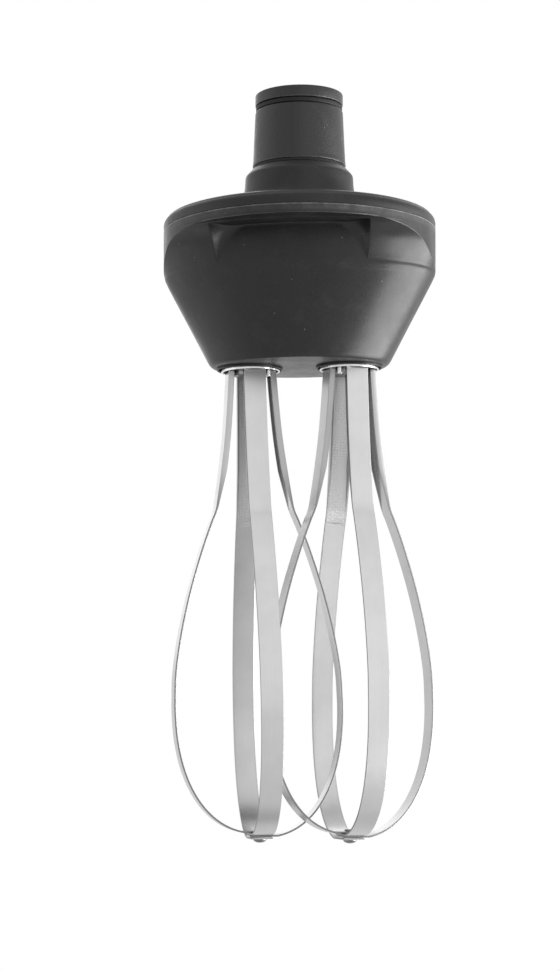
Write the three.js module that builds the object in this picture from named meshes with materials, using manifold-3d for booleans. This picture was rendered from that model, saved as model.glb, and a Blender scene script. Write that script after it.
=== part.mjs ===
// Twin-whisk gear head for a hand-held immersion blender.
// Millimetres, +Z up. The origin is on the neck's axis, on the collar face that the motor unit
// seats on: the neck stands above it, and the gear housing and the two whisks hang below it.

import * as THREE from 'three';
import { mergeVertices } from 'three/addons/utils/BufferGeometryUtils.js';
import Module from 'manifold-3d';

const wasm = await Module();
wasm.setup();

// ---------------------------------------------------------------- sizes
// Clearances
const fitGap = 0.3;             // between pieces that seat on one another
const platePinchGap = 0.1;      // between the stacked feet of the whisk strips
const ferruleGap = 0.9;         // ring of air round a turning ferrule

// Gear train
const gearModule = 1;
const pressureAngle = THREE.MathUtils.degToRad(25);
const toothBacklash = 0.22;
const addendum = 0.9;
const dedendum = 1.25;
const whiskTeeth = 44;
const pinionTeeth = 14;
const idlerTeeth = 32;
const whiskGearFace = 8;
const inputGearFace = 5;

// Neck
const neckHeight = 33.4;
const neckTopRadius = 19.3;
const neckFootRadius = 20.5;
const neckCavityRadius = 14.5;
const neckCavityDepth = 19.4;
const endRingHeight = 4.9;
const endRingLip = 1.7;
const ringGroove = 2.4;         // height of the groove that holds the rubber ring
const ringGrooveDepth = 2.1;
const threadWall = 2.2;         // wall of the sleeve's end inside the end ring
const footSealHeight = 0.9;
const sleeveSpigotRadius = 17.5;
const sleeveFlangeRadius = 21.5;
const sleeveFlangeHeight = 3;
const neckScrewCircle = 19.5;
const neckScrewRadius = 0.9;
const neckScrewHeadRadius = 1.7;
const neckScrewHeadHeight = 1.2;
const neckScrewLength = 9;

// Top cover
const coverHeight = 27;         // collar face to seam
const collarRadius = 23.5;
const collarDepth = 13.2;
const collarFlare = 3.6;        // height of the cove between the collar and the dome
const domeSlope = 0.17;
const rimRadius = 59.8;
const coverEdge = 4.8;          // height of the cover's upright edge above the seam
const coverRim = 13.8;          // solid edge round the cover's cavity
const coverCavityRadius = rimRadius - coverRim;
const coverWall = 3.2;
const coverScrewInset = 10.3;   // rim to the cover screws, along the length
const coverScrewX = rimRadius - coverScrewInset;
const coverScrewY = 15;
const coverScrewRadius = 1.9;
const coverScrewHeadRadius = 3.5;
const coverScrewHeadHeight = 2.2;
const coverScrewLength = 14;
const coverScrewSink = 0.4;     // how far a screw's head lies below the dome
const coverSealInset = 3.4;
const coverSealRadius = rimRadius - coverSealInset;
const coverSealWidth = 1.5;
const coverSealHeight = 1.2;

// Gear housing
const housingHeight = 60;       // seam to foot
const rimBand = 5.2;            // height of the housing's rim below the seam
const creaseDrop = 16.4;        // seam down to where the walls turn inwards
const shoulderDepth = 38.5;     // half depth of the housing at the crease
const shoulderDrop = 9.2;       // height over which the shoulder rounds into the taper
const shoulderInset = 2.6;
const footDepth = 31;           // half depth of the housing at its foot
const footMargin = 4;           // from a socket's lip to the end of the foot
const housingWall = 3;
const floorThickness = 4;
const recessHalfWidth = 9.5;    // how far the finger recess's end walls lean in towards the top
const socketLip = 0.7;
const socketLipDrop = 1;
const postRadius = 3.5;

// Bearings, seals and bushes: outer radius and width
const spindleLowerBearingRadius = 13;
const spindleUpperBearingRadius = 10.5;
const bearingWidth = 5;
const inputUpperBearingRadius = 11;
const inputUpperBearingWidth = 7;
const inputLowerBearingRadius = 8;
const sealWidth = 4.3;
const inputSealWidth = 3.3;
const bushWall = 1.4;
const bushLength = 7.4;
const bossWall = 3;

// Bearing plate
const plateThickness = 6;
const plateDrop = 15;           // seam to the plate's top
const plateInset = 1.5;         // plate's end to the line of the housing's inner wall
const postInset = 3.5;          // plate's edge to the posts that carry it
const plateScrewRadius = 1.4;
const plateScrewHeadRadius = 2.6;
const plateScrewHeadHeight = 1.8;
const plateScrewLength = 13;

// Shafts
const inputShaftRadius = 4;
const inputShoulderRadius = 5;
const dogRadius = 7;
const dogHeight = 8.2;
const idlerShaftRadius = 3.5;
const idlerShoulderRadius = 4.6;
const spindleRadius = 8.5;
const spindleCollarRadius = 9.8;
const spindleNeckRadius = 7;
const spindleJournalRadius = 6;
const stubRadius = 4.95;        // across the corners of the hexagonal stub
const stubLength = 20;
const stubGrooveRadius = 4.1;
const sealRise = 2.4;           // spindle's end up to the shaft seal
const gearCollarHeight = 1.7;   // spindle's collar under its gear
const inputGearDrop = 1.35;     // housing's top to the input gears' lower faces
const clipHeight = 1.2;
const clipThickness = 0.85;
const clipDrop = 3.6;           // stub's top to the clip
const clipSlack = 0.15;

// Whisks
const ferruleRadius = 13;
const ferruleWall = 0.8;
const ferruleRise = 10.3;       // foot up to the top of the ferrule
const ferruleDrop = 1.8;        // how far the ferrule stands out below the foot
const hubRadius = 7.9;
const hubPadWidth = 7.4;
const hubDrop = 3.5;            // how far the hub's core stands out below the foot
const ferrulePinRadius = 1.1;
const ferrulePinCircle = 9.4;
const ferrulePinDrop = 4.5;
const stripWidth = 9.7;
const stripThickness = 0.8;
const channelDepth = 2.6;
const channelLength = 72;
const channelStraight = 8;      // upright part of the channel, inside the ferrule
const stripTopRadius = 10;
const channelEndRadius = 17.1;
const whiskRadius = 37.2;
const whiskBellyDrop = 148.5;   // foot of the housing to the whisks' widest point
const whiskDrop = 207.6;        // foot of the housing to the lowest strip
const stripFootRadius = 7.4;    // where a strip turns level
const stripFootTail = 5.2;      // how far a foot runs on past the axis
const rivetRadius = 1.3;
const rivetHeadRadius = 3;
const rivetHeadHeight = 1.6;
const rivetTopRadius = 2.4;
const rivetTopHeight = 0.8;
const bellyFullness = 0.88;      // power of the quarter oval below the belly; 1 is a plain oval
const leftPhase = THREE.MathUtils.degToRad(16.5);
const rightPhase = THREE.MathUtils.degToRad(24);
const leftLean = THREE.MathUtils.degToRad(1.1); // the left whisk hangs out of true by its stub's play

// Facets round the turned pieces
const shellFacets = 36;
const neckFacets = 24;
const bearingFacets = 16;
const shaftFacets = 16;
const screwFacets = 8;

// ---------------------------------------------------------------- derived places
const spindleX = whiskTeeth * gearModule / 2;
const whiskPitchRadius = whiskTeeth * gearModule / 2;
const pinionPitchRadius = pinionTeeth * gearModule / 2;
const idlerPitchRadius = idlerTeeth * gearModule / 2;

// The idler stands where it meshes with both the input pinion and the right whisk gear.
const idlerToInput = idlerPitchRadius + pinionPitchRadius;
const idlerToWhisk = whiskPitchRadius + pinionPitchRadius;
const idlerX = (idlerToInput ** 2 - idlerToWhisk ** 2 + spindleX ** 2) / (2 * spindleX);
const idlerY = Math.sqrt(idlerToInput ** 2 - idlerX ** 2);

const seamZ = -coverHeight;
const coverBottomZ = seamZ + fitGap / 2;
const housingTopZ = seamZ - fitGap / 2;
const rimUnderZ = seamZ - rimBand;
const creaseZ = seamZ - creaseDrop;
const shoulderZ = creaseZ - shoulderDrop;
const footZ = seamZ - housingHeight;
const floorZ = footZ + floorThickness;

const socketRadius = ferruleRadius + ferruleGap;
const footLength = spindleX + socketRadius + socketLip + footMargin - shoulderInset / 2;
const plateTopZ = seamZ - plateDrop;
const plateBottomZ = plateTopZ - plateThickness;

const ferruleTopZ = footZ + ferruleRise;
const spindleBottomZ = ferruleTopZ + fitGap;
const sealBottomZ = spindleBottomZ + sealRise;
const lowerBearingZ = sealBottomZ + sealWidth + fitGap;
const bossTopZ = lowerBearingZ + bearingWidth + fitGap;
const whiskGearZ = bossTopZ + gearCollarHeight;
const inputGearZ = housingTopZ - inputGearDrop;
const bearingBoreRadius = spindleLowerBearingRadius + fitGap;

const neckRingZ = neckHeight - endRingHeight;
const sleeveTopZ = neckRingZ - ringGroove;
const sleeveFootZ = footSealHeight + 2 * fitGap;
const neckFloorZ = neckHeight - neckCavityDepth;
const threadRadius = neckCavityRadius + threadWall;
const spigotBoreRadius = sleeveSpigotRadius + fitGap;
const flangeTopZ = -collarDepth - fitGap;
const flangeBottomZ = flangeTopZ - sleeveFlangeHeight;
const inputSealZ = neckFloorZ - fitGap - inputSealWidth;
const inputBearingZ = inputSealZ - fitGap - inputUpperBearingWidth;
const inputBearingSeatZ = inputBearingZ - fitGap;

const whiskBottomZ = footZ - whiskDrop;
const stackTopZ = whiskBottomZ + 4 * stripThickness + 3 * platePinchGap;

// ---------------------------------------------------------------- materials
function plastic(color, roughness) {
  return new THREE.MeshStandardMaterial({ color, roughness, metalness: 0 });
}

function metal(color, roughness) {
  return new THREE.MeshStandardMaterial({ color, roughness, metalness: 1 });
}

const looks = {
  shell: () => plastic(0x3a3a3b, 0.55),
  neck: () => plastic(0x464647, 0.45),
  rubber: () => plastic(0x151515, 0.8),
  seal: () => plastic(0x2a2422, 0.75),
  strip: () => metal(0xc9cbcc, 0.3),
  chrome: () => metal(0xe2e4e5, 0.12),
  steel: () => metal(0x9a9da0, 0.35),
  gear: () => metal(0x8b8e92, 0.4),
  bronze: () => metal(0xb08a4c, 0.4),
  alloy: () => metal(0xb4b6b8, 0.5),
  nylon: () => plastic(0xd9d4c6, 0.6),
};

// ---------------------------------------------------------------- geometry helpers
// Welds a geometry's vertices, drops collapsed triangles and turns its faces outwards.
function closed(geometry) {
  const bare = geometry.clone();
  bare.deleteAttribute('normal');
  bare.deleteAttribute('uv');
  const welded = mergeVertices(bare, 1e-4);
  const point = welded.attributes.position;
  const kept = [];
  let volume = 0;
  const a = new THREE.Vector3();
  const b = new THREE.Vector3();
  const c = new THREE.Vector3();
  for (let i = 0; i < welded.index.count; i += 3) {
    const corners = [welded.index.getX(i), welded.index.getX(i + 1), welded.index.getX(i + 2)];
    if (corners[0] === corners[1] || corners[1] === corners[2] || corners[2] === corners[0]) continue;
    kept.push(...corners);
    a.fromBufferAttribute(point, corners[0]);
    b.fromBufferAttribute(point, corners[1]);
    c.fromBufferAttribute(point, corners[2]);
    volume += a.dot(b.cross(c));
  }
  if (volume < 0) kept.reverse();
  const result = new THREE.BufferGeometry();
  result.setAttribute('position', point);
  result.setIndex(kept);
  return result;
}

function solid(geometry) {
  const mesh = closed(geometry);
  return new wasm.Manifold(new wasm.Mesh({
    numProp: 3,
    vertProperties: new Float32Array(mesh.attributes.position.array),
    triVerts: new Uint32Array(mesh.index.array),
  }));
}

function fromSolid(body) {
  const mesh = body.getMesh();
  const geometry = new THREE.BufferGeometry();
  geometry.setAttribute('position', new THREE.BufferAttribute(mesh.vertProperties, 3));
  geometry.setIndex(new THREE.BufferAttribute(mesh.triVerts, 1));
  return geometry;
}

// A body turned about Z from [radius, z] pairs; a ring's profile runs back to its first point.
function turned(profile, segments) {
  const points = profile.map(([radius, z]) => new THREE.Vector2(radius, z));
  return new THREE.LatheGeometry(points, segments).rotateX(Math.PI / 2);
}

function rod(radius, bottom, top, segments) {
  return turned([[0, bottom], [radius, bottom], [radius, top], [0, top]], segments);
}

function ring(outer, inner, bottom, top, segments) {
  return turned([
    [inner, bottom],
    [outer, bottom],
    [outer, top],
    [inner, top],
    [inner, bottom],
  ], segments);
}

function extruded(outline, bottom, top) {
  const shape = new THREE.Shape(outline.map(([x, y]) => new THREE.Vector2(x, y)));
  const geometry = new THREE.ExtrudeGeometry(shape, { depth: top - bottom, bevelEnabled: false });
  return geometry.translate(0, 0, bottom);
}

function moved(geometry, x, y, z = 0) {
  return geometry.translate(x, y, z);
}

// An upright body of oval sections, from [half length, half depth, z] levels.
function oval(levels, segments) {
  const first = levels[0];
  const last = levels[levels.length - 1];
  const profile = [[0, first[2]], ...levels.map(([length, , z]) => [length, z]), [0, last[2]]];
  const geometry = turned(profile, segments);
  const point = geometry.attributes.position;
  for (let i = 0; i < point.count; i += 1) {
    const level = levels.reduce((best, each) => (
      Math.abs(each[2] - point.getZ(i)) < Math.abs(best[2] - point.getZ(i)) ? each : best));
    point.setY(i, point.getY(i) * level[1] / level[0]);
  }
  return geometry;
}

// Involute-flanked gear outline with a tooth centred on the angle `phase`.
function gearOutline(teeth, phase) {
  const pitchRadius = teeth * gearModule / 2;
  const baseRadius = pitchRadius * Math.cos(pressureAngle);
  const rootRadius = pitchRadius - dedendum * gearModule;
  const tipRadius = pitchRadius + addendum * gearModule;
  const involute = (angle) => Math.tan(angle) - angle;
  const pitchHalf = (Math.PI * gearModule / 2 - toothBacklash) / 2 / pitchRadius;
  const half = (radius) => {
    const angle = radius > baseRadius ? Math.acos(baseRadius / radius) : 0;
    return pitchHalf + involute(pressureAngle) - involute(angle);
  };
  const flank = [rootRadius, pitchRadius, tipRadius];
  if (rootRadius < baseRadius * 0.95) flank.splice(1, 0, baseRadius);
  const step = 2 * Math.PI / teeth;
  const outline = [];
  for (let tooth = 0; tooth < teeth; tooth += 1) {
    const centre = phase + tooth * step;
    for (const radius of flank) {
      const angle = centre - half(radius);
      outline.push([radius * Math.cos(angle), radius * Math.sin(angle)]);
    }
    for (const radius of [...flank].reverse()) {
      const angle = centre + half(radius);
      outline.push([radius * Math.cos(angle), radius * Math.sin(angle)]);
    }
  }
  return outline;
}

// The phase that puts a gear's gap opposite its neighbour's tooth on their line of centres.
function meshPhase(from, fromTeeth, fromPhase, to, toTeeth) {
  const line = Math.atan2(to[1] - from[1], to[0] - from[0]);
  const offset = (line - fromPhase) / (2 * Math.PI / fromTeeth);
  return line + Math.PI - (2 * Math.PI / toTeeth) * (0.5 - offset);
}

function gear(teeth, phase, boreRadius, bottom, top) {
  const blank = solid(extruded(gearOutline(teeth, phase), bottom, top));
  return fromSolid(blank.subtract(solid(rod(boreRadius, bottom - 1, top + 1, shaftFacets))));
}

// ---------------------------------------------------------------- scene graph
const head = new THREE.Group();

function add(parent, name, geometry, look) {
  const mesh = new THREE.Mesh(closed(geometry), looks[look]());
  mesh.name = name;
  parent.add(mesh);
  return mesh;
}

function groupAt(parent, x, y, turn = 0) {
  const group = new THREE.Group();
  group.position.set(x, y, 0);
  group.rotation.z = turn;
  parent.add(group);
  return group;
}

function aroundCircle(count, radius, start) {
  return Array.from({ length: count }, (_, i) => {
    const angle = start + i * 2 * Math.PI / count;
    return [radius * Math.cos(angle), radius * Math.sin(angle)];
  });
}

// ---------------------------------------------------------------- neck
const neckScrewPlaces = aroundCircle(3, neckScrewCircle, Math.PI / 2);
const threadTopZ = neckHeight - endRingLip - fitGap;

function neckSleeve() {
  const body = turned([
    [inputUpperBearingRadius - bossWall / 2, flangeBottomZ],
    [sleeveFlangeRadius, flangeBottomZ],
    [sleeveFlangeRadius, flangeTopZ],
    [sleeveSpigotRadius, flangeTopZ],
    [sleeveSpigotRadius, sleeveFootZ],
    [neckFootRadius, sleeveFootZ],
    [neckFootRadius, sleeveFootZ + 1],
    [neckFootRadius - 0.2, sleeveFootZ + 2],
    [neckTopRadius, sleeveTopZ - 0.8],
    [neckTopRadius - 0.6, sleeveTopZ],
    [threadRadius, sleeveTopZ],
    [threadRadius, threadTopZ],
    [neckCavityRadius, threadTopZ],
    [neckCavityRadius, neckFloorZ],
    [inputUpperBearingRadius + fitGap, neckFloorZ],
    [inputUpperBearingRadius + fitGap, inputBearingSeatZ],
    [inputUpperBearingRadius - bossWall / 2, inputBearingSeatZ],
    [inputUpperBearingRadius - bossWall / 2, flangeBottomZ],
  ], neckFacets);
  let sleeve = solid(body);
  for (const [x, y] of neckScrewPlaces) {
    const hole = rod(neckScrewRadius + fitGap, flangeBottomZ - 1, flangeTopZ + 1, screwFacets);
    sleeve = sleeve.subtract(solid(moved(hole, x, y)));
  }
  return fromSolid(sleeve);
}

function neckEndRing() {
  const edge = 0.8;
  return turned([
    [neckCavityRadius, neckHeight],
    [neckTopRadius - edge, neckHeight],
    [neckTopRadius - edge / 4, neckHeight - edge / 4],
    [neckTopRadius, neckHeight - edge],
    [neckTopRadius, neckRingZ],
    [threadRadius + fitGap, neckRingZ],
    [threadRadius + fitGap, neckHeight - endRingLip],
    [neckCavityRadius, neckHeight - endRingLip],
    [neckCavityRadius, neckHeight],
  ], neckFacets);
}

function roundRing(circle, halfWidth, halfHeight, middle, segments) {
  const section = [];
  for (let i = 0; i <= 8; i += 1) {
    const angle = i * Math.PI / 4;
    section.push([circle + halfWidth * Math.cos(angle), middle + halfHeight * Math.sin(angle)]);
  }
  return turned(section, segments);
}

add(head, 'neck_sleeve', neckSleeve(), 'neck');
add(head, 'neck_end_ring', neckEndRing(), 'neck');

const grooveRoot = neckTopRadius - ringGrooveDepth;
const ringHalfWidth = (neckTopRadius - grooveRoot - fitGap) / 2;
add(head, 'neck_o_ring', roundRing(
  grooveRoot + ringHalfWidth, ringHalfWidth, ringGroove / 2 - fitGap,
  sleeveTopZ + ringGroove / 2, bearingFacets,
), 'rubber');
add(head, 'neck_foot_seal', ring(
  neckFootRadius - platePinchGap, spigotBoreRadius, fitGap, fitGap + footSealHeight, bearingFacets,
), 'rubber');

// Screws that hold the sleeve's flange up against the collar, from inside the cover.
function panScrew(headRadius, headHeight, shankRadius, length, seat, up) {
  const side = up ? 1 : -1;
  return turned([
    [0, seat - side * headHeight],
    [headRadius * 0.7, seat - side * headHeight],
    [headRadius, seat - side * headHeight * 0.6],
    [headRadius, seat],
    [shankRadius, seat],
    [shankRadius, seat + side * (length - shankRadius)],
    [0, seat + side * length],
  ], screwFacets);
}

neckScrewPlaces.forEach(([x, y], i) => {
  const group = groupAt(head, x, y);
  add(group, `neck_screw_${i + 1}`, panScrew(
    neckScrewHeadRadius, neckScrewHeadHeight, neckScrewRadius, neckScrewLength,
    flangeBottomZ - fitGap, true,
  ), 'steel');
});

// ---------------------------------------------------------------- top cover
const coverScrewPlaces = [
  [coverScrewX, coverScrewY],
  [-coverScrewX, coverScrewY],
  [-coverScrewX, -coverScrewY],
  [coverScrewX, -coverScrewY],
];
const coverEdgeZ = seamZ + coverEdge;
const collarFootZ = -collarDepth - collarFlare;
const domeZ = (radius) => collarFootZ - (radius - collarRadius - 8) * domeSlope;
const coverScrewDomeZ = domeZ(Math.hypot(coverScrewX, coverScrewY));
const coverScrewSeatZ = coverScrewDomeZ - coverScrewHeadHeight - coverScrewSink;

function topCover() {
  const rise = coverEdgeZ - coverBottomZ;
  const shell = turned([
    [spigotBoreRadius, 0],
    [collarRadius - 3.1, 0],
    [collarRadius - 1.6, -0.7],
    [collarRadius - 0.5, -2.1],
    [collarRadius, -4],
    [collarRadius + 1.1, -10.2],
    [collarRadius + 2.3, -13],
    [collarRadius + 4.7, collarFootZ + 1.5],
    [collarRadius + 8, collarFootZ],
    [rimRadius - 3, domeZ(rimRadius - 3)],
    [rimRadius - 1.2, coverEdgeZ - rise * 0.05],
    [rimRadius - 0.3, coverEdgeZ - rise * 0.3],
    [rimRadius, coverEdgeZ - rise * 0.6],
    [rimRadius, coverBottomZ],
    [coverCavityRadius, coverBottomZ],
    [coverCavityRadius, domeZ(coverCavityRadius) - coverWall],
    [collarRadius + 3.5, domeZ(collarRadius + 3.5) - coverWall],
    [sleeveFlangeRadius + 2 * fitGap, flangeBottomZ - neckScrewHeadHeight],
    [sleeveFlangeRadius + 2 * fitGap, -collarDepth],
    [spigotBoreRadius, -collarDepth],
    [spigotBoreRadius, 0],
  ], shellFacets);
  let cover = solid(shell);
  for (const [x, y] of coverScrewPlaces) {
    const hole = rod(coverScrewRadius + fitGap, coverBottomZ - 1, 0, screwFacets);
    const sink = rod(coverScrewHeadRadius + fitGap, coverScrewSeatZ, 0, screwFacets);
    cover = cover.subtract(solid(moved(hole, x, y))).subtract(solid(moved(sink, x, y)));
  }
  for (const [x, y] of neckScrewPlaces) {
    const holeTopZ = flangeBottomZ + neckScrewLength + 1;
    const hole = rod(neckScrewRadius + fitGap, -collarDepth - 1, holeTopZ, screwFacets);
    cover = cover.subtract(solid(moved(hole, x, y)));
  }
  return fromSolid(cover);
}

add(head, 'top_cover', topCover(), 'shell');
coverScrewPlaces.forEach(([x, y], i) => {
  const group = groupAt(head, x, y);
  add(group, `cover_screw_${i + 1}`, panScrew(
    coverScrewHeadRadius, coverScrewHeadHeight, coverScrewRadius, coverScrewLength,
    coverScrewSeatZ + fitGap, false,
  ), 'steel');
});
add(head, 'cover_seal', ring(
  coverSealRadius + coverSealWidth / 2, coverSealRadius - coverSealWidth / 2,
  housingTopZ - coverSealHeight, housingTopZ, neckFacets,
), 'seal');

// ---------------------------------------------------------------- gear housing
const coverScrewTipZ = coverScrewSeatZ + fitGap - coverScrewLength;
const plateScrewTipZ = plateTopZ + fitGap - plateScrewLength;
const lowerBushTopZ = bossTopZ;
const idlerBushRadius = idlerShaftRadius + fitGap + bushWall;
const footRound = 2.6;          // height over which the foot's edge rounds

const shoulderLevels = [
  [rimRadius - shoulderInset, shoulderDepth - shoulderInset * 0.6, shoulderZ],
  [rimRadius - shoulderInset * 0.45, shoulderDepth - shoulderInset * 0.3, creaseZ - shoulderDrop * 0.6],
  [rimRadius - shoulderInset * 0.08, shoulderDepth - shoulderInset * 0.06, creaseZ - shoulderDrop * 0.25],
  [rimRadius, shoulderDepth, creaseZ],
  [rimRadius, shoulderDepth, rimUnderZ + 1],
];
const footLevels = [
  [footLength - footRound * 0.7, footDepth - footRound * 0.25, footZ],
  [footLength - footRound * 0.15, footDepth, footZ + footRound * 0.2],
  [footLength + footRound * 0.45, footDepth + footRound * 0.15, footZ + footRound],
];

// Half length and half depth of the housing's outer wall at a height, for what lies inside it.
function outerAt(z) {
  const lower = footLevels[footLevels.length - 1];
  const upper = shoulderLevels[0];
  const share = THREE.MathUtils.clamp((z - lower[2]) / (upper[2] - lower[2]), 0, 1);
  return [lower[0] + share * (upper[0] - lower[0]), lower[1] + share * (upper[1] - lower[1])];
}

const [plateWallX, plateWallY] = outerAt(plateBottomZ);
const plateHalfLength = plateWallX - housingWall - plateInset;
const plateHalfDepth = plateWallY - housingWall - plateInset / 2;
const postX = plateHalfLength - postInset;
const postY = plateHalfDepth - postInset;
const postPlaces = [[postX, 0], [-postX, 0], [0, -postY]];

function housingOutside() {
  const body = solid(oval([...footLevels, ...shoulderLevels], shellFacets));
  const edge = 0.5;
  const rim = solid(turned([
    [0, rimUnderZ],
    [rimRadius - edge, rimUnderZ],
    [rimRadius, rimUnderZ + edge],
    [rimRadius, housingTopZ],
    [0, housingTopZ],
  ], shellFacets));
  // A cove runs from the wall out to the rim's underside; the round rim cuts it to an arch.
  const coveHeight = rimUnderZ - creaseZ;
  const coveLevels = [0, 0.4, 0.7, 0.9, 1].map((share) => {
    const out = coveHeight * (1 - Math.sqrt(1 - share ** 2));
    return [rimRadius + out, shoulderDepth + out, creaseZ + coveHeight * share];
  });
  coveLevels.push([rimRadius + coveHeight, shoulderDepth + coveHeight, rimUnderZ + 1]);
  let cove = solid(oval(coveLevels, shellFacets))
    .intersect(solid(rod(rimRadius, creaseZ - 1, rimUnderZ + 0.5, shellFacets)));
  // Front and back, a finger recess interrupts the cove; its end walls lean in towards the top.
  for (const side of [-1, 1]) {
    const near = shoulderDepth * 0.6;
    const far = rimRadius + coveHeight;
    const outline = [[-near, side * near], [near, side * near], [far, side * far], [-far, side * far]];
    const cutter = extruded(outline, creaseZ, rimUnderZ + 2);
    const point = cutter.attributes.position;
    for (let i = 0; i < point.count; i += 1) {
      const lean = recessHalfWidth * (point.getZ(i) - creaseZ) / coveHeight;
      point.setX(i, point.getX(i) - Math.sign(point.getX(i)) * lean);
    }
    cove = cove.subtract(solid(cutter));
  }
  let outside = body.add(rim).add(cove);
  for (const side of [-1, 1]) {
    const lip = rod(socketRadius + socketLip, footZ - socketLipDrop, footZ + 1, neckFacets);
    outside = outside.add(solid(moved(lip, side * spindleX, 0)));
  }
  return outside;
}

function housingCavity() {
  const inner = [floorZ, shoulderZ, creaseZ, housingTopZ + 1].map((z) => {
    const [length, depth] = outerAt(z);
    const grow = z > shoulderZ ? shoulderInset * 0.8 : 0;
    return [length + grow - housingWall, depth + grow * 0.6 - housingWall, z];
  });
  let cavity = solid(oval(inner, neckFacets));
  cavity = cavity.add(solid(rod(coverCavityRadius, rimUnderZ + housingWall, housingTopZ + 1, neckFacets)));
  for (const side of [-1, 1]) {
    const boss = rod(bearingBoreRadius + bossWall, footZ, bossTopZ, bearingFacets);
    cavity = cavity.subtract(solid(moved(boss, side * spindleX, 0)));
  }
  const idlerPost = rod(idlerBushRadius + fitGap + bossWall / 2, footZ, lowerBushTopZ, shaftFacets);
  cavity = cavity.subtract(solid(moved(idlerPost, idlerX, idlerY)));
  for (const [x, y] of postPlaces) {
    cavity = cavity.subtract(solid(moved(rod(postRadius, footZ, plateBottomZ - fitGap, screwFacets), x, y)));
  }
  for (const [x, y] of coverScrewPlaces) {
    const bossRadius = coverScrewRadius + fitGap + bossWall;
    const boss = rod(bossRadius, coverScrewTipZ - bossWall, housingTopZ + 2, screwFacets);
    cavity = cavity.subtract(solid(moved(boss, x, y)));
  }
  return cavity;
}

function gearHousing() {
  let housing = housingOutside().subtract(housingCavity());
  for (const side of [-1, 1]) {
    const socket = rod(socketRadius, footZ - socketLipDrop - 1, sealBottomZ - 1, neckFacets);
    const seat = rod(bearingBoreRadius, sealBottomZ - 2, bossTopZ + 1, bearingFacets);
    housing = housing.subtract(solid(moved(socket, side * spindleX, 0)));
    housing = housing.subtract(solid(moved(seat, side * spindleX, 0)));
  }
  const bushSeatZ = lowerBushTopZ - bushLength - 2 * fitGap;
  const bushHole = rod(idlerBushRadius + fitGap, bushSeatZ, lowerBushTopZ + 1, shaftFacets);
  housing = housing.subtract(solid(moved(bushHole, idlerX, idlerY)));
  for (const [x, y] of coverScrewPlaces) {
    const hole = rod(coverScrewRadius + fitGap, coverScrewTipZ - fitGap, housingTopZ + 1, screwFacets);
    housing = housing.subtract(solid(moved(hole, x, y)));
  }
  for (const [x, y] of postPlaces) {
    const hole = rod(plateScrewRadius + fitGap, plateScrewTipZ - fitGap, plateBottomZ + 1, screwFacets);
    housing = housing.subtract(solid(moved(hole, x, y)));
  }
  const grooveHalf = coverSealWidth / 2 + fitGap;
  const groove = ring(
    coverSealRadius + grooveHalf, coverSealRadius - grooveHalf,
    housingTopZ - coverSealHeight - fitGap, housingTopZ + 1, neckFacets,
  );
  return fromSolid(housing.subtract(solid(groove)));
}

add(head, 'gear_housing', gearHousing(), 'shell');

// ---------------------------------------------------------------- bearing plate
function bearingPlate() {
  const levels = [
    [plateHalfLength, plateHalfDepth, plateBottomZ],
    [plateHalfLength, plateHalfDepth, plateTopZ],
  ];
  let plate = solid(oval(levels, neckFacets));
  const bores = [
    [spindleX, 0, spindleUpperBearingRadius + fitGap, bearingFacets],
    [-spindleX, 0, spindleUpperBearingRadius + fitGap, bearingFacets],
    [0, 0, inputLowerBearingRadius + fitGap, bearingFacets],
    [idlerX, idlerY, idlerBushRadius + fitGap, shaftFacets],
    ...postPlaces.map(([x, y]) => [x, y, plateScrewRadius + fitGap, screwFacets]),
  ];
  for (const [x, y, radius, segments] of bores) {
    plate = plate.subtract(solid(moved(rod(radius, plateBottomZ - 1, plateTopZ + 1, segments), x, y)));
  }
  return fromSolid(plate);
}

add(head, 'bearing_plate', bearingPlate(), 'alloy');
postPlaces.forEach(([x, y], i) => {
  const group = groupAt(head, x, y);
  add(group, `plate_screw_${i + 1}`, panScrew(
    plateScrewHeadRadius, plateScrewHeadHeight, plateScrewRadius, plateScrewLength,
    plateTopZ + fitGap, false,
  ), 'steel');
});

// ---------------------------------------------------------------- input shaft
const plateBearingZ = plateTopZ - (plateThickness - bearingWidth) / 2 - bearingWidth;
const inputGearTopZ = inputGearZ + inputGearFace;
const leftPlace = [-spindleX, 0];
const rightPlace = [spindleX, 0];
const idlerPlace = [idlerX, idlerY];
const rightGearPhase = meshPhase(leftPlace, whiskTeeth, 0, rightPlace, whiskTeeth);
const idlerPinionPhase = meshPhase(rightPlace, whiskTeeth, rightGearPhase, idlerPlace, pinionTeeth);
const inputPinionPhase = meshPhase(idlerPlace, idlerTeeth, 0, [0, 0], pinionTeeth);

function inputShaft() {
  return turned([
    [0, plateBearingZ],
    [inputShaftRadius, plateBearingZ],
    [inputShaftRadius, plateBearingZ + bearingWidth + fitGap],
    [inputShoulderRadius, plateBearingZ + bearingWidth + fitGap],
    [inputShoulderRadius, inputGearZ - fitGap],
    [inputShaftRadius, inputGearZ - fitGap],
    [inputShaftRadius, inputGearTopZ + fitGap],
    [inputShoulderRadius, inputGearTopZ + fitGap],
    [inputShoulderRadius, inputBearingZ - fitGap],
    [inputShaftRadius, inputBearingZ - fitGap],
    [inputShaftRadius, neckFloorZ + dogHeight / 2],
    [0, neckFloorZ + dogHeight / 2],
  ], shaftFacets);
}

function driveDog() {
  const dogZ = neckFloorZ + fitGap;
  const edge = 0.8;
  const blank = solid(turned([
    [0, dogZ], [dogRadius, dogZ], [dogRadius, dogZ + dogHeight - edge],
    [dogRadius - edge, dogZ + dogHeight], [0, dogZ + dogHeight],
  ], 6));
  const boreTopZ = neckFloorZ + dogHeight / 2 + fitGap;
  const bore = rod(inputShaftRadius + fitGap, dogZ - 1, boreTopZ, shaftFacets);
  return fromSolid(blank.subtract(solid(bore)));
}

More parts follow.
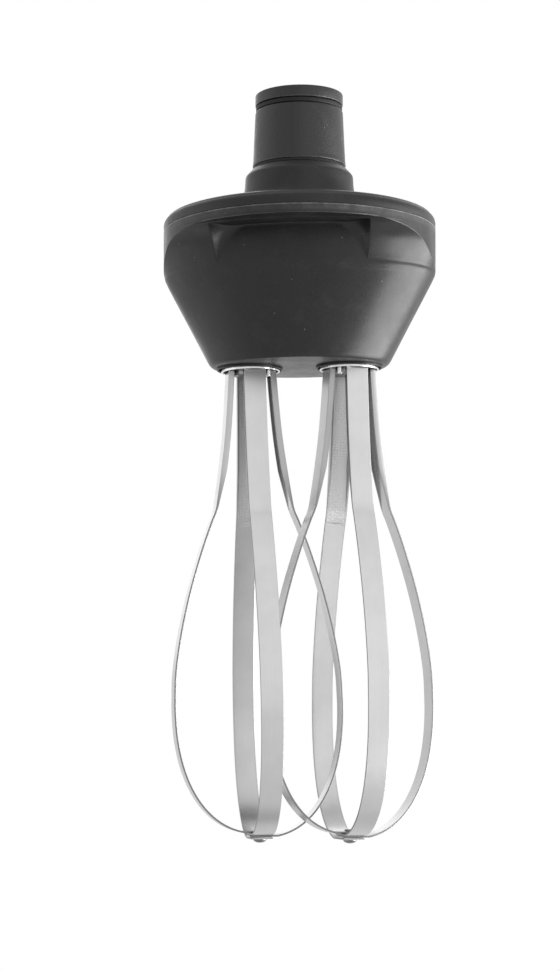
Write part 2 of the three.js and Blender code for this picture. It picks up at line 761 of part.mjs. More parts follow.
add(head, 'input_shaft', inputShaft(), 'steel');
add(head, 'drive_dog', driveDog(), 'steel');
add(head, 'input_pinion', gear(
  pinionTeeth, inputPinionPhase, inputShaftRadius + fitGap, inputGearZ, inputGearTopZ,
), 'gear');
add(head, 'input_upper_bearing', ring(
  inputUpperBearingRadius, inputShaftRadius + fitGap,
  inputBearingZ, inputBearingZ + inputUpperBearingWidth, bearingFacets,
), 'steel');
add(head, 'input_lower_bearing', ring(
  inputLowerBearingRadius, inputShaftRadius + fitGap,
  plateBearingZ, plateBearingZ + bearingWidth, bearingFacets,
), 'steel');
add(head, 'input_seal', ring(
  inputUpperBearingRadius, inputShaftRadius + fitGap, inputSealZ, inputSealZ + inputSealWidth, bearingFacets,
), 'rubber');

// ---------------------------------------------------------------- idler
const whiskGearTopZ = whiskGearZ + whiskGearFace;
const idlerShaftBottomZ = lowerBushTopZ - bushLength;

function idlerShaft() {
  return turned([
    [0, idlerShaftBottomZ],
    [idlerShaftRadius, idlerShaftBottomZ],
    [idlerShaftRadius, whiskGearTopZ + fitGap],
    [idlerShoulderRadius, whiskGearTopZ + fitGap],
    [idlerShoulderRadius, plateBottomZ - fitGap],
    [idlerShaftRadius, plateBottomZ - fitGap],
    [idlerShaftRadius, plateTopZ + fitGap],
    [idlerShoulderRadius, plateTopZ + fitGap],
    [idlerShoulderRadius, inputGearZ - fitGap],
    [idlerShaftRadius, inputGearZ - fitGap],
    [idlerShaftRadius, inputGearTopZ + fitGap],
    [0, inputGearTopZ + fitGap],
  ], shaftFacets);
}

const idlerAxis = groupAt(head, idlerX, idlerY);
add(idlerAxis, 'idler_shaft', idlerShaft(), 'steel');
add(idlerAxis, 'idler_gear', gear(
  idlerTeeth, 0, idlerShaftRadius + fitGap, inputGearZ, inputGearTopZ,
), 'nylon');
add(idlerAxis, 'idler_pinion', gear(
  pinionTeeth, idlerPinionPhase, idlerShaftRadius + fitGap, whiskGearZ, whiskGearTopZ,
), 'gear');
add(idlerAxis, 'idler_upper_bush', ring(
  idlerBushRadius, idlerShaftRadius + fitGap, plateBottomZ, plateTopZ, shaftFacets,
), 'bronze');
add(idlerAxis, 'idler_lower_bush', ring(
  idlerBushRadius, idlerShaftRadius + fitGap, lowerBushTopZ - bushLength, lowerBushTopZ, shaftFacets,
), 'bronze');

// ---------------------------------------------------------------- spindles
const stubTopZ = ferruleTopZ + stubLength;
const hexBoreRadius = stubRadius + fitGap / Math.cos(Math.PI / 6);
const clipZ = stubTopZ - clipDrop;
const clipOuterRadius = hexBoreRadius + clipSlack + clipThickness;

function spindle(hexTurn) {
  const body = solid(turned([
    [0, spindleBottomZ],
    [spindleRadius, spindleBottomZ],
    [spindleRadius, bossTopZ],
    [spindleCollarRadius, bossTopZ],
    [spindleCollarRadius, whiskGearZ - fitGap],
    [spindleRadius, whiskGearZ - fitGap],
    [spindleRadius, whiskGearTopZ + fitGap],
    [spindleNeckRadius, whiskGearTopZ + fitGap],
    [spindleNeckRadius, plateBearingZ - fitGap],
    [spindleJournalRadius, plateBearingZ - fitGap],
    [spindleJournalRadius, plateTopZ],
    [0, plateTopZ],
  ], bearingFacets));
  const bore = solid(rod(hexBoreRadius, spindleBottomZ - 1, stubTopZ + 2 * fitGap, 6).rotateZ(hexTurn));
  const groove = rod(clipOuterRadius + fitGap, clipZ - fitGap, clipZ + clipHeight + fitGap, shaftFacets);
  return fromSolid(body.subtract(bore).subtract(solid(groove)));
}

function addSpindle(side, place, gearPhase, hexTurn) {
  const axis = groupAt(head, place[0], place[1]);
  add(axis, `${side}_spindle`, spindle(hexTurn), 'steel');
  add(axis, `${side}_gear`, gear(
    whiskTeeth, gearPhase, spindleRadius + fitGap, whiskGearZ, whiskGearTopZ,
  ), 'gear');
  add(axis, `${side}_spring_clip`, ring(
    clipOuterRadius, clipOuterRadius - clipThickness, clipZ, clipZ + clipHeight, shaftFacets,
  ), 'steel');
  add(axis, `${side}_lower_bearing`, ring(
    spindleLowerBearingRadius, spindleRadius + fitGap,
    lowerBearingZ, lowerBearingZ + bearingWidth, bearingFacets,
  ), 'steel');
  add(axis, `${side}_upper_bearing`, ring(
    spindleUpperBearingRadius, spindleJournalRadius + fitGap,
    plateBearingZ, plateBearingZ + bearingWidth, bearingFacets,
  ), 'steel');
  add(axis, `${side}_shaft_seal`, ring(
    spindleLowerBearingRadius, spindleRadius + fitGap,
    sealBottomZ, sealBottomZ + sealWidth, bearingFacets,
  ), 'rubber');
  return axis;
}

const leftAxis = addSpindle('left', leftPlace, 0, leftPhase);
const rightAxis = addSpindle('right', rightPlace, rightGearPhase, rightPhase);

// ---------------------------------------------------------------- whisks
const ferruleDiscZ = ferruleTopZ - ferruleWall;
const hubTopZ = ferruleDiscZ - fitGap;
const hubBottomZ = footZ - hubDrop;
const stripTopZ = hubTopZ - fitGap;

function whiskHub() {
  let hub = solid(turned([
    [0, hubBottomZ],
    [hubRadius - 1, hubBottomZ],
    [hubRadius, hubBottomZ + 1],
    [hubRadius, hubTopZ],
    [0, hubTopZ],
  ], bearingFacets));
  const padReach = 2 * (stripTopRadius - stripThickness / 2 - fitGap);
  for (const [sizeX, sizeY] of [[padReach, hubPadWidth], [hubPadWidth, padReach]]) {
    const pad = new THREE.BoxGeometry(sizeX, sizeY, hubTopZ - footZ);
    hub = hub.add(solid(moved(pad, 0, 0, (hubTopZ + footZ) / 2)));
  }
  const edge = 0.7;
  const stub = solid(turned([
    [0, hubTopZ - 1],
    [stubRadius, hubTopZ - 1],
    [stubRadius, stubTopZ - edge],
    [stubRadius - edge, stubTopZ],
    [0, stubTopZ],
  ], 6));
  const groove = ring(
    stubRadius + 1, stubGrooveRadius, clipZ - fitGap, clipZ + clipHeight + fitGap, shaftFacets,
  );
  return fromSolid(hub.add(stub.subtract(solid(groove))));
}

function ferrule() {
  return turned([
    [stubRadius + fitGap, ferruleDiscZ],
    [ferruleRadius - ferruleWall, ferruleDiscZ],
    [ferruleRadius - ferruleWall, footZ - ferruleDrop],
    [ferruleRadius, footZ - ferruleDrop],
    [ferruleRadius, ferruleTopZ - 0.6],
    [ferruleRadius - 0.6, ferruleTopZ],
    [stubRadius + fitGap, ferruleTopZ],
    [stubRadius + fitGap, ferruleDiscZ],
  ], neckFacets);
}

// The middle of a strip's thickness as [radius, z], from the hub down to where it turns level.
function stripPath(layer) {
  const levelZ = whiskBottomZ + stripThickness / 2 + layer * (stripThickness + platePinchGap);
  const bellyZ = footZ - whiskBellyDrop;
  const channelEndZ = stripTopZ - channelLength;
  const straightEndZ = stripTopZ - channelStraight;
  const flare = channelEndRadius - stripTopRadius;
  const channelFall = straightEndZ - channelEndZ;
  const upper = [
    [stripTopRadius, stripTopZ],
    [stripTopRadius, straightEndZ],
    [stripTopRadius + flare * 0.28, straightEndZ - channelFall * 0.42],
    [stripTopRadius + flare * 0.6, straightEndZ - channelFall * 0.71],
    [channelEndRadius, channelEndZ],
  ];
  const swell = whiskRadius - channelEndRadius;
  const fall = channelEndZ - bellyZ;
  const belly = [
    [channelEndRadius + swell * 0.13, channelEndZ - fall * 0.07],
    [channelEndRadius + swell * 0.36, channelEndZ - fall * 0.22],
    [channelEndRadius + swell * 0.62, channelEndZ - fall * 0.42],
    [channelEndRadius + swell * 0.83, channelEndZ - fall * 0.63],
    [channelEndRadius + swell * 0.965, channelEndZ - fall * 0.83],
    [whiskRadius, bellyZ],
  ];
  // Below the belly the strip follows a full quarter oval, left where it turns level.
  const endAngle = Math.acos((stripFootRadius / whiskRadius) ** (1 / bellyFullness));
  const ovalHeight = (bellyZ - levelZ) / Math.sin(endAngle) ** bellyFullness;
  const steps = 8;
  for (let i = 1; i <= steps; i += 1) {
    const angle = endAngle * i / steps;
    belly.push([
      whiskRadius * Math.cos(angle) ** bellyFullness,
      bellyZ - ovalHeight * Math.sin(angle) ** bellyFullness,
    ]);
  }
  return { upper, belly, level: [-stripFootTail, levelZ] };
}

// Shifts a [radius, z] path sideways by a distance, positive away from the whisk's axis.
function offsetPath(path, distance) {
  return path.map((point, i) => {
    const before = path[Math.max(i - 1, 0)];
    const after = path[Math.min(i + 1, path.length - 1)];
    const along = new THREE.Vector2(after[0] - before[0], after[1] - before[1]).normalize();
    return [point[0] - along.y * distance, point[1] + along.x * distance];
  });
}

// A side view in [radius, z] given a thickness across: radius becomes X, the thickness lies along Y.
function sidePlate(outline, middle, width) {
  return moved(extruded(outline, -width / 2, width / 2).rotateX(Math.PI / 2), 0, middle);
}

function whiskStrip(layer) {
  const { upper, belly, level } = stripPath(layer);
  const path = [...upper, ...belly, level];
  const outer = offsetPath(path, -stripThickness / 2);
  const inner = offsetPath(path, stripThickness / 2);
  let strip = solid(sidePlate([...outer, ...inner.reverse()], 0, stripWidth));
  // The upper part is a channel: two flanges turned in towards the axis, run out at the kink.
  const spine = offsetPath(upper, stripThickness / 4);
  const edge = offsetPath(upper.slice(0, -1), stripThickness / 2 - channelDepth);
  const flange = [...spine, ...edge.reverse()];
  for (const side of [-1, 1]) {
    const middle = side * (stripWidth - stripThickness) / 2;
    strip = strip.add(solid(sidePlate(flange, middle, stripThickness)));
  }
  const hole = rod(rivetRadius + fitGap, whiskBottomZ - 1, stackTopZ + 1, screwFacets);
  return fromSolid(strip.subtract(solid(hole)));
}

function rivet() {
  const underZ = whiskBottomZ - fitGap / 2;
  const overZ = stackTopZ + fitGap / 2;
  return turned([
    [0, underZ - rivetHeadHeight],
    [rivetHeadRadius * 0.55, underZ - rivetHeadHeight * 0.85],
    [rivetHeadRadius * 0.9, underZ - rivetHeadHeight * 0.45],
    [rivetHeadRadius, underZ],
    [rivetRadius, underZ],
    [rivetRadius, overZ],
    [rivetTopRadius, overZ],
    [rivetTopRadius * 0.8, overZ + rivetTopHeight],
    [0, overZ + rivetTopHeight],
  ], shaftFacets);
}

// Strips by the order in which their feet are stacked: back, right, front, left.
const stripTurns = [
  ['back', Math.PI / 2],
  ['right', 0],
  ['front', -Math.PI / 2],
  ['left', Math.PI],
];

function addWhisk(side, axis, phase, pinTurn, lean) {
  // A whisk leans about the middle of its stub.
  const hanger = new THREE.Group();
  hanger.position.set(0, 0, stubTopZ - stubLength / 2);
  hanger.rotation.y = -lean;
  axis.add(hanger);
  const whisk = groupAt(hanger, 0, 0, phase);
  whisk.position.z = stubLength / 2 - stubTopZ;
  add(whisk, `${side}_whisk_hub`, whiskHub(), 'steel');
  add(whisk, `${side}_ferrule`, ferrule(), 'chrome');
  const pin = groupAt(whisk, ferrulePinCircle * Math.cos(pinTurn), ferrulePinCircle * Math.sin(pinTurn));
  add(pin, `${side}_ferrule_pin`, rod(
    ferrulePinRadius, footZ - ferrulePinDrop, hubTopZ, screwFacets,
  ), 'chrome');
  stripTurns.forEach(([name, turn], layer) => {
    add(groupAt(whisk, 0, 0, turn), `${side}_strip_${name}`, whiskStrip(layer), 'strip');
  });
  add(whisk, `${side}_rivet`, rivet(), 'steel');
}

addWhisk('left', leftAxis, leftPhase, -Math.PI / 4, leftLean);
addWhisk('right', rightAxis, rightPhase, -3 * Math.PI / 4, 0);

export default head;
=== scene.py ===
# Looks for a twin-whisk gear head that plugs onto a hand-held blender.
# Metres, +Z up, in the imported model's frame: the neck's axis is Z, and the collar's face is z = 0.
from math import acos, cos, dist, pi, radians, remainder, sin

import bmesh
import bpy
from mathutils import Matrix, Vector
from mathutils.kdtree import KDTree


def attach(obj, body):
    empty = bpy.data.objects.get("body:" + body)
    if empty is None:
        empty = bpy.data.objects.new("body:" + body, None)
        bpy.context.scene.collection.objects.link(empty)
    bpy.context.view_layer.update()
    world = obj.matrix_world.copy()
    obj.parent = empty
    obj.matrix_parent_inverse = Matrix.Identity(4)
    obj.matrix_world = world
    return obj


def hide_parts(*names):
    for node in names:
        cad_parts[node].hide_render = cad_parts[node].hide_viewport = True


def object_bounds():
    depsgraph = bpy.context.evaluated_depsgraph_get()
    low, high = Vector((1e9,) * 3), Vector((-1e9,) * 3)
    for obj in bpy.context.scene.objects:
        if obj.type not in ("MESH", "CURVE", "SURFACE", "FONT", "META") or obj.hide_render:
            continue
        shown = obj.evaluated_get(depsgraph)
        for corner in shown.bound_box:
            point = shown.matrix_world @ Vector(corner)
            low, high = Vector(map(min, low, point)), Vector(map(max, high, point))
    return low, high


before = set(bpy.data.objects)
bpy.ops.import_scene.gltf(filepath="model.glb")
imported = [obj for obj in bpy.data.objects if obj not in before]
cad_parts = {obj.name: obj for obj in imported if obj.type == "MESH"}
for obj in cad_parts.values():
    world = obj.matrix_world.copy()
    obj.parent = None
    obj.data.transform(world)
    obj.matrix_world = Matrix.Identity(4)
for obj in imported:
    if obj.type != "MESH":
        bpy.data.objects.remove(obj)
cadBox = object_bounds()
mm = 0.001
print("stage: frame loaded,", len(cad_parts), "nodes")

# what several pieces share, in millimetres: the round rim, and where upright bores stand
rimRadius = 59.8
places = {
    "socket": [(-22.0, 0), (22.0, 0)],
    "idler": [(3.909, 22.665)],
    "post": [(49.2, 0), (-49.2, 0), (0, -29.69)],
    "screw": [(sx * 49.5, sy * 15.0) for sx in (1, -1) for sy in (1, -1)],
    "neckScrew": [(19.5 * cos(t), 19.5 * sin(t))
                  for t in (pi / 2 + i * 2 * pi / 3 for i in range(3))],
}


# outlines are in millimetres, finished pieces in metres
def newObject(name, data):
    made = bpy.data.objects.new(name, data)
    bpy.context.scene.collection.objects.link(made)
    return made


def newPiece(name, points, faces):
    mesh = bpy.data.meshes.new(name)
    mesh.from_pydata([tuple(c * mm for c in p) for p in points], [], faces)
    return newObject(name, mesh)


def bend(a, b, c, t):
    return a * (1 - t) ** 2 + b * (2 * t * (1 - t)) + c * t * t


def eased(corners, loop=True, steps=4):
    # outline from (radius, height, easing) corners, each rounded by its easing
    outline = []
    count = len(corners)
    for i, (x, z, ease) in enumerate(corners):
        if ease == 0 or (not loop and i in (0, count - 1)):
            outline.append((x, z))
            continue
        here = Vector((x, z))
        toBefore = Vector(corners[i - 1][:2]) - here
        toAfter = Vector(corners[(i + 1) % count][:2]) - here
        reach = min(ease, toBefore.length * 0.45, toAfter.length * 0.45)
        start = here + toBefore.normalized() * reach
        end = here + toAfter.normalized() * reach
        outline += [tuple(bend(start, here, end, k / steps)) for k in range(steps + 1)]
    return outline


def flowing(points, steps=6):
    # smooth line through points of any number of values
    line = []
    for i in range(len(points) - 1):
        a, b = points[i], points[i + 1]
        before = points[i - 1] if i else [2 * p - q for p, q in zip(a, b)]
        after = points[i + 2] if i + 2 < len(points) else [2 * q - p for p, q in zip(a, b)]
        for k in range(steps):
            t = k / steps
            line.append(tuple(
                0.5 * (2 * q + (r - p) * t + (2 * p - 5 * q + 4 * r - s) * t * t
                       + (3 * q - p - 3 * r + s) * t ** 3)
                for p, q, r, s in zip(before, a, b, after)))
    line.append(tuple(points[-1]))
    return line


def turnedPiece(name, outline, segments, place=(0, 0), start=0.0, ridges=()):
    # lathe round a vertical axis; an outline that starts on the axis is closed by the axis,
    # any other closes on itself; ridges are (angle, lowest, highest, height) mould lines
    points, faces, rings = [], [], []
    for radius, z in outline:
        if radius == 0:
            rings.append([len(points)] * segments)
            points.append((*place, z))
            continue
        rings.append(list(range(len(points), len(points) + segments)))
        for i in range(segments):
            angle = start + 2 * pi * i / segments
            grow = 0
            for at, low, high, height in ridges:
                if low < z < high and abs(remainder(angle - at, 2 * pi)) < 1e-4:
                    grow = height
            points.append((place[0] + (radius + grow) * cos(angle),
                           place[1] + (radius + grow) * sin(angle), z))
    for k in range(len(rings) - (outline[0][0] == 0)):
        a, b = rings[k], rings[(k + 1) % len(rings)]
        for i in range(segments):
            j = (i + 1) % segments
            face = list(dict.fromkeys((a[i], a[j], b[j], b[i])))
            if len(face) > 2:
                faces.append(face)
    return newPiece(name, points, faces)


def settle(piece):
    # the evaluated mesh becomes the piece's own, and its modifiers go
    graph = bpy.context.evaluated_depsgraph_get()
    mesh = bpy.data.meshes.new_from_object(piece.evaluated_get(graph))
    piece.modifiers.clear()
    old = piece.data
    piece.data = mesh
    bpy.data.meshes.remove(old)
    mesh.name = piece.name
    return piece


def soften(piece, width, segments=3, angle=30):
    bevel = piece.modifiers.new("soften", "BEVEL")
    bevel.width = width * mm
    bevel.segments = segments
    bevel.limit_method = "ANGLE"
    bevel.angle_limit = radians(angle)
    return settle(piece)


def block(name, size, middle, ease=0.0):
    points = [[m + way * s / 2 for m, s, way in zip(middle, size, (x, y, z))]
              for x in (-1, 1) for y in (-1, 1) for z in (-1, 1)]
    faces = [(0, 1, 3, 2), (4, 6, 7, 5), (0, 4, 5, 1), (2, 3, 7, 6), (0, 2, 6, 4), (1, 5, 7, 3)]
    piece = newPiece(name, points, faces)
    return soften(piece, ease) if ease else piece


def combine(piece, other, how="DIFFERENCE"):
    step = piece.modifiers.new("combine", "BOOLEAN")
    step.operation, step.solver, step.object = how, "EXACT", other
    settle(piece)
    bpy.data.objects.remove(other)
    return piece


def facesOut(piece):
    # welds doubles and points every face outwards
    weldGap, shortestEdge = 2e-6, 1e-7
    work = bmesh.new()
    work.from_mesh(piece.data)
    bmesh.ops.remove_doubles(work, verts=work.verts, dist=weldGap)
    bmesh.ops.dissolve_degenerate(work, edges=work.edges, dist=shortestEdge)
    bmesh.ops.recalc_face_normals(work, faces=work.faces)
    work.to_mesh(piece.data)
    work.free()
    return piece


def turned(name, corners, segments, place=(0, 0), loop=True, steps=4, **more):
    return facesOut(turnedPiece(name, eased(corners, loop, steps), segments, place, **more))


def rod(radius, low, high, place=(0, 0), segments=48):
    outline = [(0, low), (radius, low), (radius, high), (0, high)]
    return facesOut(turnedPiece("rod", outline, segments, place))


def cutRods(piece, rods):
    # cuts rods of (radius, foot, top, segments) at all their places
    for key, (radius, low, high, segments) in rods.items():
        for place in places[key]:
            combine(piece, rod(radius, low, high, place, segments))


def mark(piece, label, values):
    made = piece.data.attributes.new(label, "FLOAT", "POINT")
    made.data.foreach_set("value", values)
    return piece


def rubAndHighlightAt(piece, low, high, inner, value):
    # marks the points between two heights, outside a radius, as worn: a lighter tone that is also a
    # painted highlight on the edge
    return mark(piece, "rubbed", [
        value if low * mm < v.co.z < high * mm and v.co.xy.length > inner * mm else 0.0
        for v in piece.data.vertices])


# node trees: a value is a setting of the node, or its socket's constant or link
def plug(tree, socket, value):
    if isinstance(value, bpy.types.NodeSocket):
        tree.links.new(value, socket)
    else:
        socket.default_value = value


def feed(tree, made, values):
    for key, value in values.items():
        if key in made.inputs:
            plug(tree, made.inputs[key], value)
        else:
            setattr(made, key, value)
    return made


def node(tree, kind, **values):
    return feed(tree, tree.nodes.new(kind), values)


def first(tree, kind, **values):
    return node(tree, kind, **values).outputs[0]


def ramp(tree, source, stops):
    made = node(tree, "ShaderNodeValToRGB", Fac=source)
    elements = made.color_ramp.elements
    while len(elements) < len(stops):
        elements.new(0.5)
    for element, (at, level) in zip(elements, stops):
        element.position = at
        element.color = (level, level, level, 1)
    return made.outputs["Color"]


def noise(tree, where, scale, detail=4.0, roughness=0.55):
    return first(tree, "ShaderNodeTexNoise", Vector=where, Scale=scale, Detail=detail,
                 Roughness=roughness)


def sums(tree, operation, a, b, clamp=False):
    made = node(tree, "ShaderNodeMath", operation=operation, use_clamp=clamp)
    plug(tree, made.inputs[0], a)
    plug(tree, made.inputs[1], b)
    return made.outputs[0]


def times(tree, a, b, clamp=False):
    return sums(tree, "MULTIPLY", a, b, clamp)


def vectorSums(tree, operation, a, b):
    made = node(tree, "ShaderNodeVectorMath", operation=operation)
    plug(tree, made.inputs[0], a)
    plug(tree, made.inputs["Scale" if operation == "SCALE" else 1], b)
    return made.outputs["Vector"]


def mapped(tree, source, low, high, fromLow=0.0, fromHigh=1.0, how="LINEAR"):
    return first(tree, "ShaderNodeMapRange", interpolation_type=how, Value=source, **{
        "From Min": fromLow, "From Max": fromHigh, "To Min": low, "To Max": high})


def laid(tree, share, low, high):
    # part of the way from one tone to another, each a grey, a colour or a link
    made = node(tree, "ShaderNodeMix", data_type="RGBA")
    sockets = {s.identifier: s for s in made.inputs}
    for key, value in (("A_Color", low), ("B_Color", high)):
        if isinstance(value, (int, float)):
            value = (value,) * 3
        plug(tree, sockets[key], (*value, 1) if isinstance(value, tuple) else value)
    plug(tree, sockets["Factor_Float"], share)
    return next(s for s in made.outputs if s.identifier == "Result_Color")


def attribute(tree, name):
    return node(tree, "ShaderNodeAttribute", attribute_name=name).outputs["Fac"]


def bumped(tree, height, strength, distance):
    return first(tree, "ShaderNodeBump", Height=height, Strength=strength, Distance=distance)


def newMaterial(name):
    material = bpy.data.materials.new(name)
    material.use_nodes = True
    tree = material.node_tree
    where = node(tree, "ShaderNodeTexCoord").outputs["Object"]
    return material, tree, tree.nodes["Principled BSDF"], where


# satin moulded plastic: tones are shares of the colour, scales are per metre
plasticLook = {
    "shell": {"colour": 0.0090, "rough": 0.37, "gloss": 0.34, "dust": 0.6,
              "grain": 1500, "grainDepth": 0.00004},
    "neck": {"colour": 0.0085, "rough": 0.37, "gloss": 0.47, "dust": 0.7,
             "grain": 1150, "grainDepth": 0.00013},
    "rubber": {"colour": 0.009, "rough": 0.60, "gloss": 0.28, "dust": 0.4,
               "grain": 1800, "grainDepth": 0.00003},
}
plasticLayers = {
    "cloudScale": 34, "cloudLow": 0.74, "cloudHigh": 1.36, "speckleShare": 0.35, "speckleTone": 2.6,
    "scuffScale": 115, "scuffShare": 0.5, "scuffTone": 2.8, "markShare": 0.6, "markTone": 0.25,
    "markReach": 200.0, "wornScale": 170, "wornAndHighlightGrey": 0.24, "dustScale": 430.0,
    "dustPatches": 260, "dustGrey": 0.26, "dustHeight": 1.5,
    "smearScale": 60, "smearDown": 0.08, "smearUp": 0.09,
}


def plastic(name):
    # cloudy colour, fine spark-eroded grain, worn edges that also carry painted edge highlights,
    # stray dust
    look, p = plasticLook[name], plasticLayers
    material, tree, shader, where = newMaterial(name + "Plastic")
    base = look["colour"]
    grain = noise(tree, where, look["grain"], 2, 0.5)
    cloud = ramp(tree, noise(tree, where, p["cloudScale"], 6, 0.62), [(0.34, 0), (0.68, 1)])
    tone = laid(tree, cloud, base * p["cloudLow"], base * p["cloudHigh"])
    speckle = ramp(tree, grain, [(0.36, 0), (0.66, 1)])
    tone = laid(tree, times(tree, speckle, p["speckleShare"]), tone, base * p["speckleTone"])
    scuff = ramp(tree, noise(tree, where, p["scuffScale"], 4, 0.6), [(0.54, 0), (0.66, 1)])
    tone = laid(tree, times(tree, scuff, p["scuffShare"]), tone, base * p["scuffTone"])
    if name == "neck":
        # the flow mark down the mould's parting plane
        off = first(tree, "ShaderNodeSeparateXYZ", Vector=where)
        off = times(tree, sums(tree, "ABSOLUTE", off, 0.0), p["markReach"])
        flow = ramp(tree, off, [(0.0, 0.5), (0.26, 0.55), (0.31, 1), (0.40, 0)])
        tone = laid(tree, times(tree, flow, p["markShare"]), tone, base * p["markTone"])
    # worn marks take a lighter tone, worn and also a painted highlight on edges and a painted sheen
    # on the housing's band
    patchy = ramp(tree, noise(tree, where, p["wornScale"], 6, 0.7), [(0.36, 0.35), (0.62, 1)])
    tone = laid(tree, times(tree, attribute(tree, "rubbed"), patchy), tone, p["wornAndHighlightGrey"])
    flecks = first(tree, "ShaderNodeTexVoronoi", Vector=where, Scale=p["dustScale"], Randomness=1.0)
    near = ramp(tree, flecks, [(0.09, 1), (0.2, 0)])
    chosen = ramp(tree, noise(tree, where, p["dustPatches"], 2, 0.5), [(0.655, 0), (0.70, 1)])
    dust = times(tree, times(tree, near, chosen), look["dust"])
    tone = laid(tree, dust, tone, p["dustGrey"])
    smear = noise(tree, where, p["smearScale"], 6, 0.65)
    rough = mapped(tree, smear, look["rough"] - p["smearDown"], look["rough"] + p["smearUp"],
                   0.3, 0.7)
    height = sums(tree, "ADD", grain, times(tree, dust, p["dustHeight"]))
    feed(tree, shader, {
        "Base Color": tone, "Roughness": rough, "Specular IOR Level": look["gloss"],
        "Normal": bumped(tree, height, 1.0, look["grainDepth"])})
    return material


# flat-rolled strip; line and dimple scales are per metre along and across it
stripLook = {
    "colour": 0.52, "rough": 0.31, "spread": 0.05, "linesAlong": 16.0, "linesAcross": 2300.0,
    "lineLow": 0.97, "lineHigh": 1.03, "cloudScale": 55, "cloudTone": 0.84,
    # the inner and edge tones carry painted shade, the dimple tone painted glints
    "innerShadeShare": 0.06, "innerShadeTone": 0.60, "dimpleScale": 800.0, "dimpleGlintTone": 1.16,
    "edgeAndFlangeShadeShare": 0.95, "edgeAndFlangeShadeTone": 0.38, "lineHeight": 0.15, "dimpleHeight": 0.6,
    "bump": 0.35, "bumpDepth": 0.00008,
}


def stripMetal():
    # drawn lines, soft scuffs, dark shear-cut edges, painted shade on inner faces and on the
    # flanges' outsides, and rows of dimples in the channel, painted lighter as glints
    look = stripLook
    material, tree, shader, where = newMaterial("drawnStrip")
    c = look["colour"]
    along, across = attribute(tree, "alongStrip"), attribute(tree, "acrossStrip")

    def lie(scaleAlong, scaleAcross):
        return first(tree, "ShaderNodeCombineXYZ", X=times(tree, along, scaleAlong),
                     Y=times(tree, across, scaleAcross))

    drawn = noise(tree, lie(look["linesAlong"], look["linesAcross"]), 1.0, 5, 0.6)
    cloud = noise(tree, where, look["cloudScale"], 5, 0.6)
    tone = laid(tree, ramp(tree, drawn, [(0.3, 0), (0.7, 1)]), c * look["lineLow"],
                c * look["lineHigh"])
    tone = laid(tree, ramp(tree, cloud, [(0.40, 0), (0.70, 0.5)]), tone, c * look["cloudTone"])
    # inner faces take a little painted shade
    inner = times(tree, attribute(tree, "face"), -1.0, clamp=True)
    tone = laid(tree, times(tree, inner, look["innerShadeShare"]), tone, c * look["innerShadeTone"])
    dots = first(tree, "ShaderNodeTexVoronoi", voronoi_dimensions="2D", Scale=1.0, Randomness=0.5,
                 Vector=lie(look["dimpleScale"], look["dimpleScale"]))
    dimple = times(tree, ramp(tree, dots, [(0.14, 1), (0.46, 0)]), attribute(tree, "inChannel"))
    # the dimples are painted lighter in cloudy patches, as glints
    dimpleGlint = times(tree, dimple, ramp(tree, cloud, [(0.42, 0.2), (0.58, 0.9)]))
    tone = laid(tree, dimpleGlint, tone, c * look["dimpleGlintTone"])
    # the edge marks darken shear-cut edges and paint shade on the flanges' outsides
    edgeAndFlangeShade = times(tree, attribute(tree, "edge"), look["edgeAndFlangeShadeShare"])
    tone = laid(tree, edgeAndFlangeShade, tone, c * look["edgeAndFlangeShadeTone"])
    rough = mapped(tree, times(tree, sums(tree, "ADD", drawn, cloud), 0.5),
                   look["rough"] - look["spread"], look["rough"] + look["spread"])
    height = sums(tree, "SUBTRACT", times(tree, drawn, look["lineHeight"]),
                  times(tree, dimple, look["dimpleHeight"]))
    feed(tree, shader, {
        "Metallic": 1, "Base Color": tone, "Roughness": rough,
        "Normal": bumped(tree, height, look["bump"], look["bumpDepth"])})
    return material


metalLook = {
    "chrome": {"colour": 0.72, "rough": 0.20, "spread": 0.05},
    "steel": {"colour": 0.50, "rough": 0.30, "spread": 0.10},
    "hub": {"colour": 0.34, "rough": 0.36, "spread": 0.10},
    "rivet": {"colour": 0.20, "rough": 0.30, "spread": 0.10},
    "gear": {"colour": 0.36, "rough": 0.36, "spread": 0.12},
    "alloy": {"colour": 0.46, "rough": 0.48, "spread": 0.12},
    "bronze": {"colour": 0.52, "rough": 0.38, "spread": 0.10, "tint": (1.0, 0.66, 0.36)},
}
metalLayers = {
    "markScale": 260, "markStretch": (1, 1, 14), "bump": 0.25, "bumpDepth": 0.00004,
    "cloudScale": 90, "cloudLow": 0.86, "cloudHigh": 1.06,
}


def metal(name):
    # turned or cut metal: fine rings of tool marks round Z, and a cloudy oil film
    look, m = metalLook[name], metalLayers
    material, tree, shader, where = newMaterial(name + "Metal")
    stretched = first(tree, "ShaderNodeMapping", vector_type="POINT", Vector=where,
                      Scale=m["markStretch"])
    marks = noise(tree, stretched, m["markScale"], 3, 0.5)
    cloud = noise(tree, where, m["cloudScale"], 4, 0.6)
    low, high = (tuple(look["colour"] * t * m[key] for t in look.get("tint", (1, 1, 1)))
                 for key in ("cloudLow", "cloudHigh"))
    oily = ramp(tree, cloud, [(0.3, 0), (0.75, 1)])
    feed(tree, shader, {
        "Metallic": 1, "Base Color": laid(tree, oily, low, high),
        "Roughness": mapped(tree, cloud, look["rough"] - look["spread"] / 2,
                            look["rough"] + look["spread"]),
        "Normal": bumped(tree, marks, m["bump"], m["bumpDepth"])})
    return material


finishes = {name: plastic(name) for name in plasticLook}
finishes.update({name: metal(name) for name in metalLook})
finishes["strip"] = stripMetal()
print("stage: finishes made,", len(finishes))


def fit(piece, body, slotName, finish, *nodes, sharpAngle=34):
    # shades a finished piece and hangs it on its body, in place of the named nodes
    piece.data.polygons.foreach_set("use_smooth", [True] * len(piece.data.polygons))
    piece.data.set_sharp_from_angle(angle=radians(sharpAngle))
    piece.data.materials.clear()
    piece.data.materials.append(finishes[finish])
    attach(piece, body)
    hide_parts(*nodes)


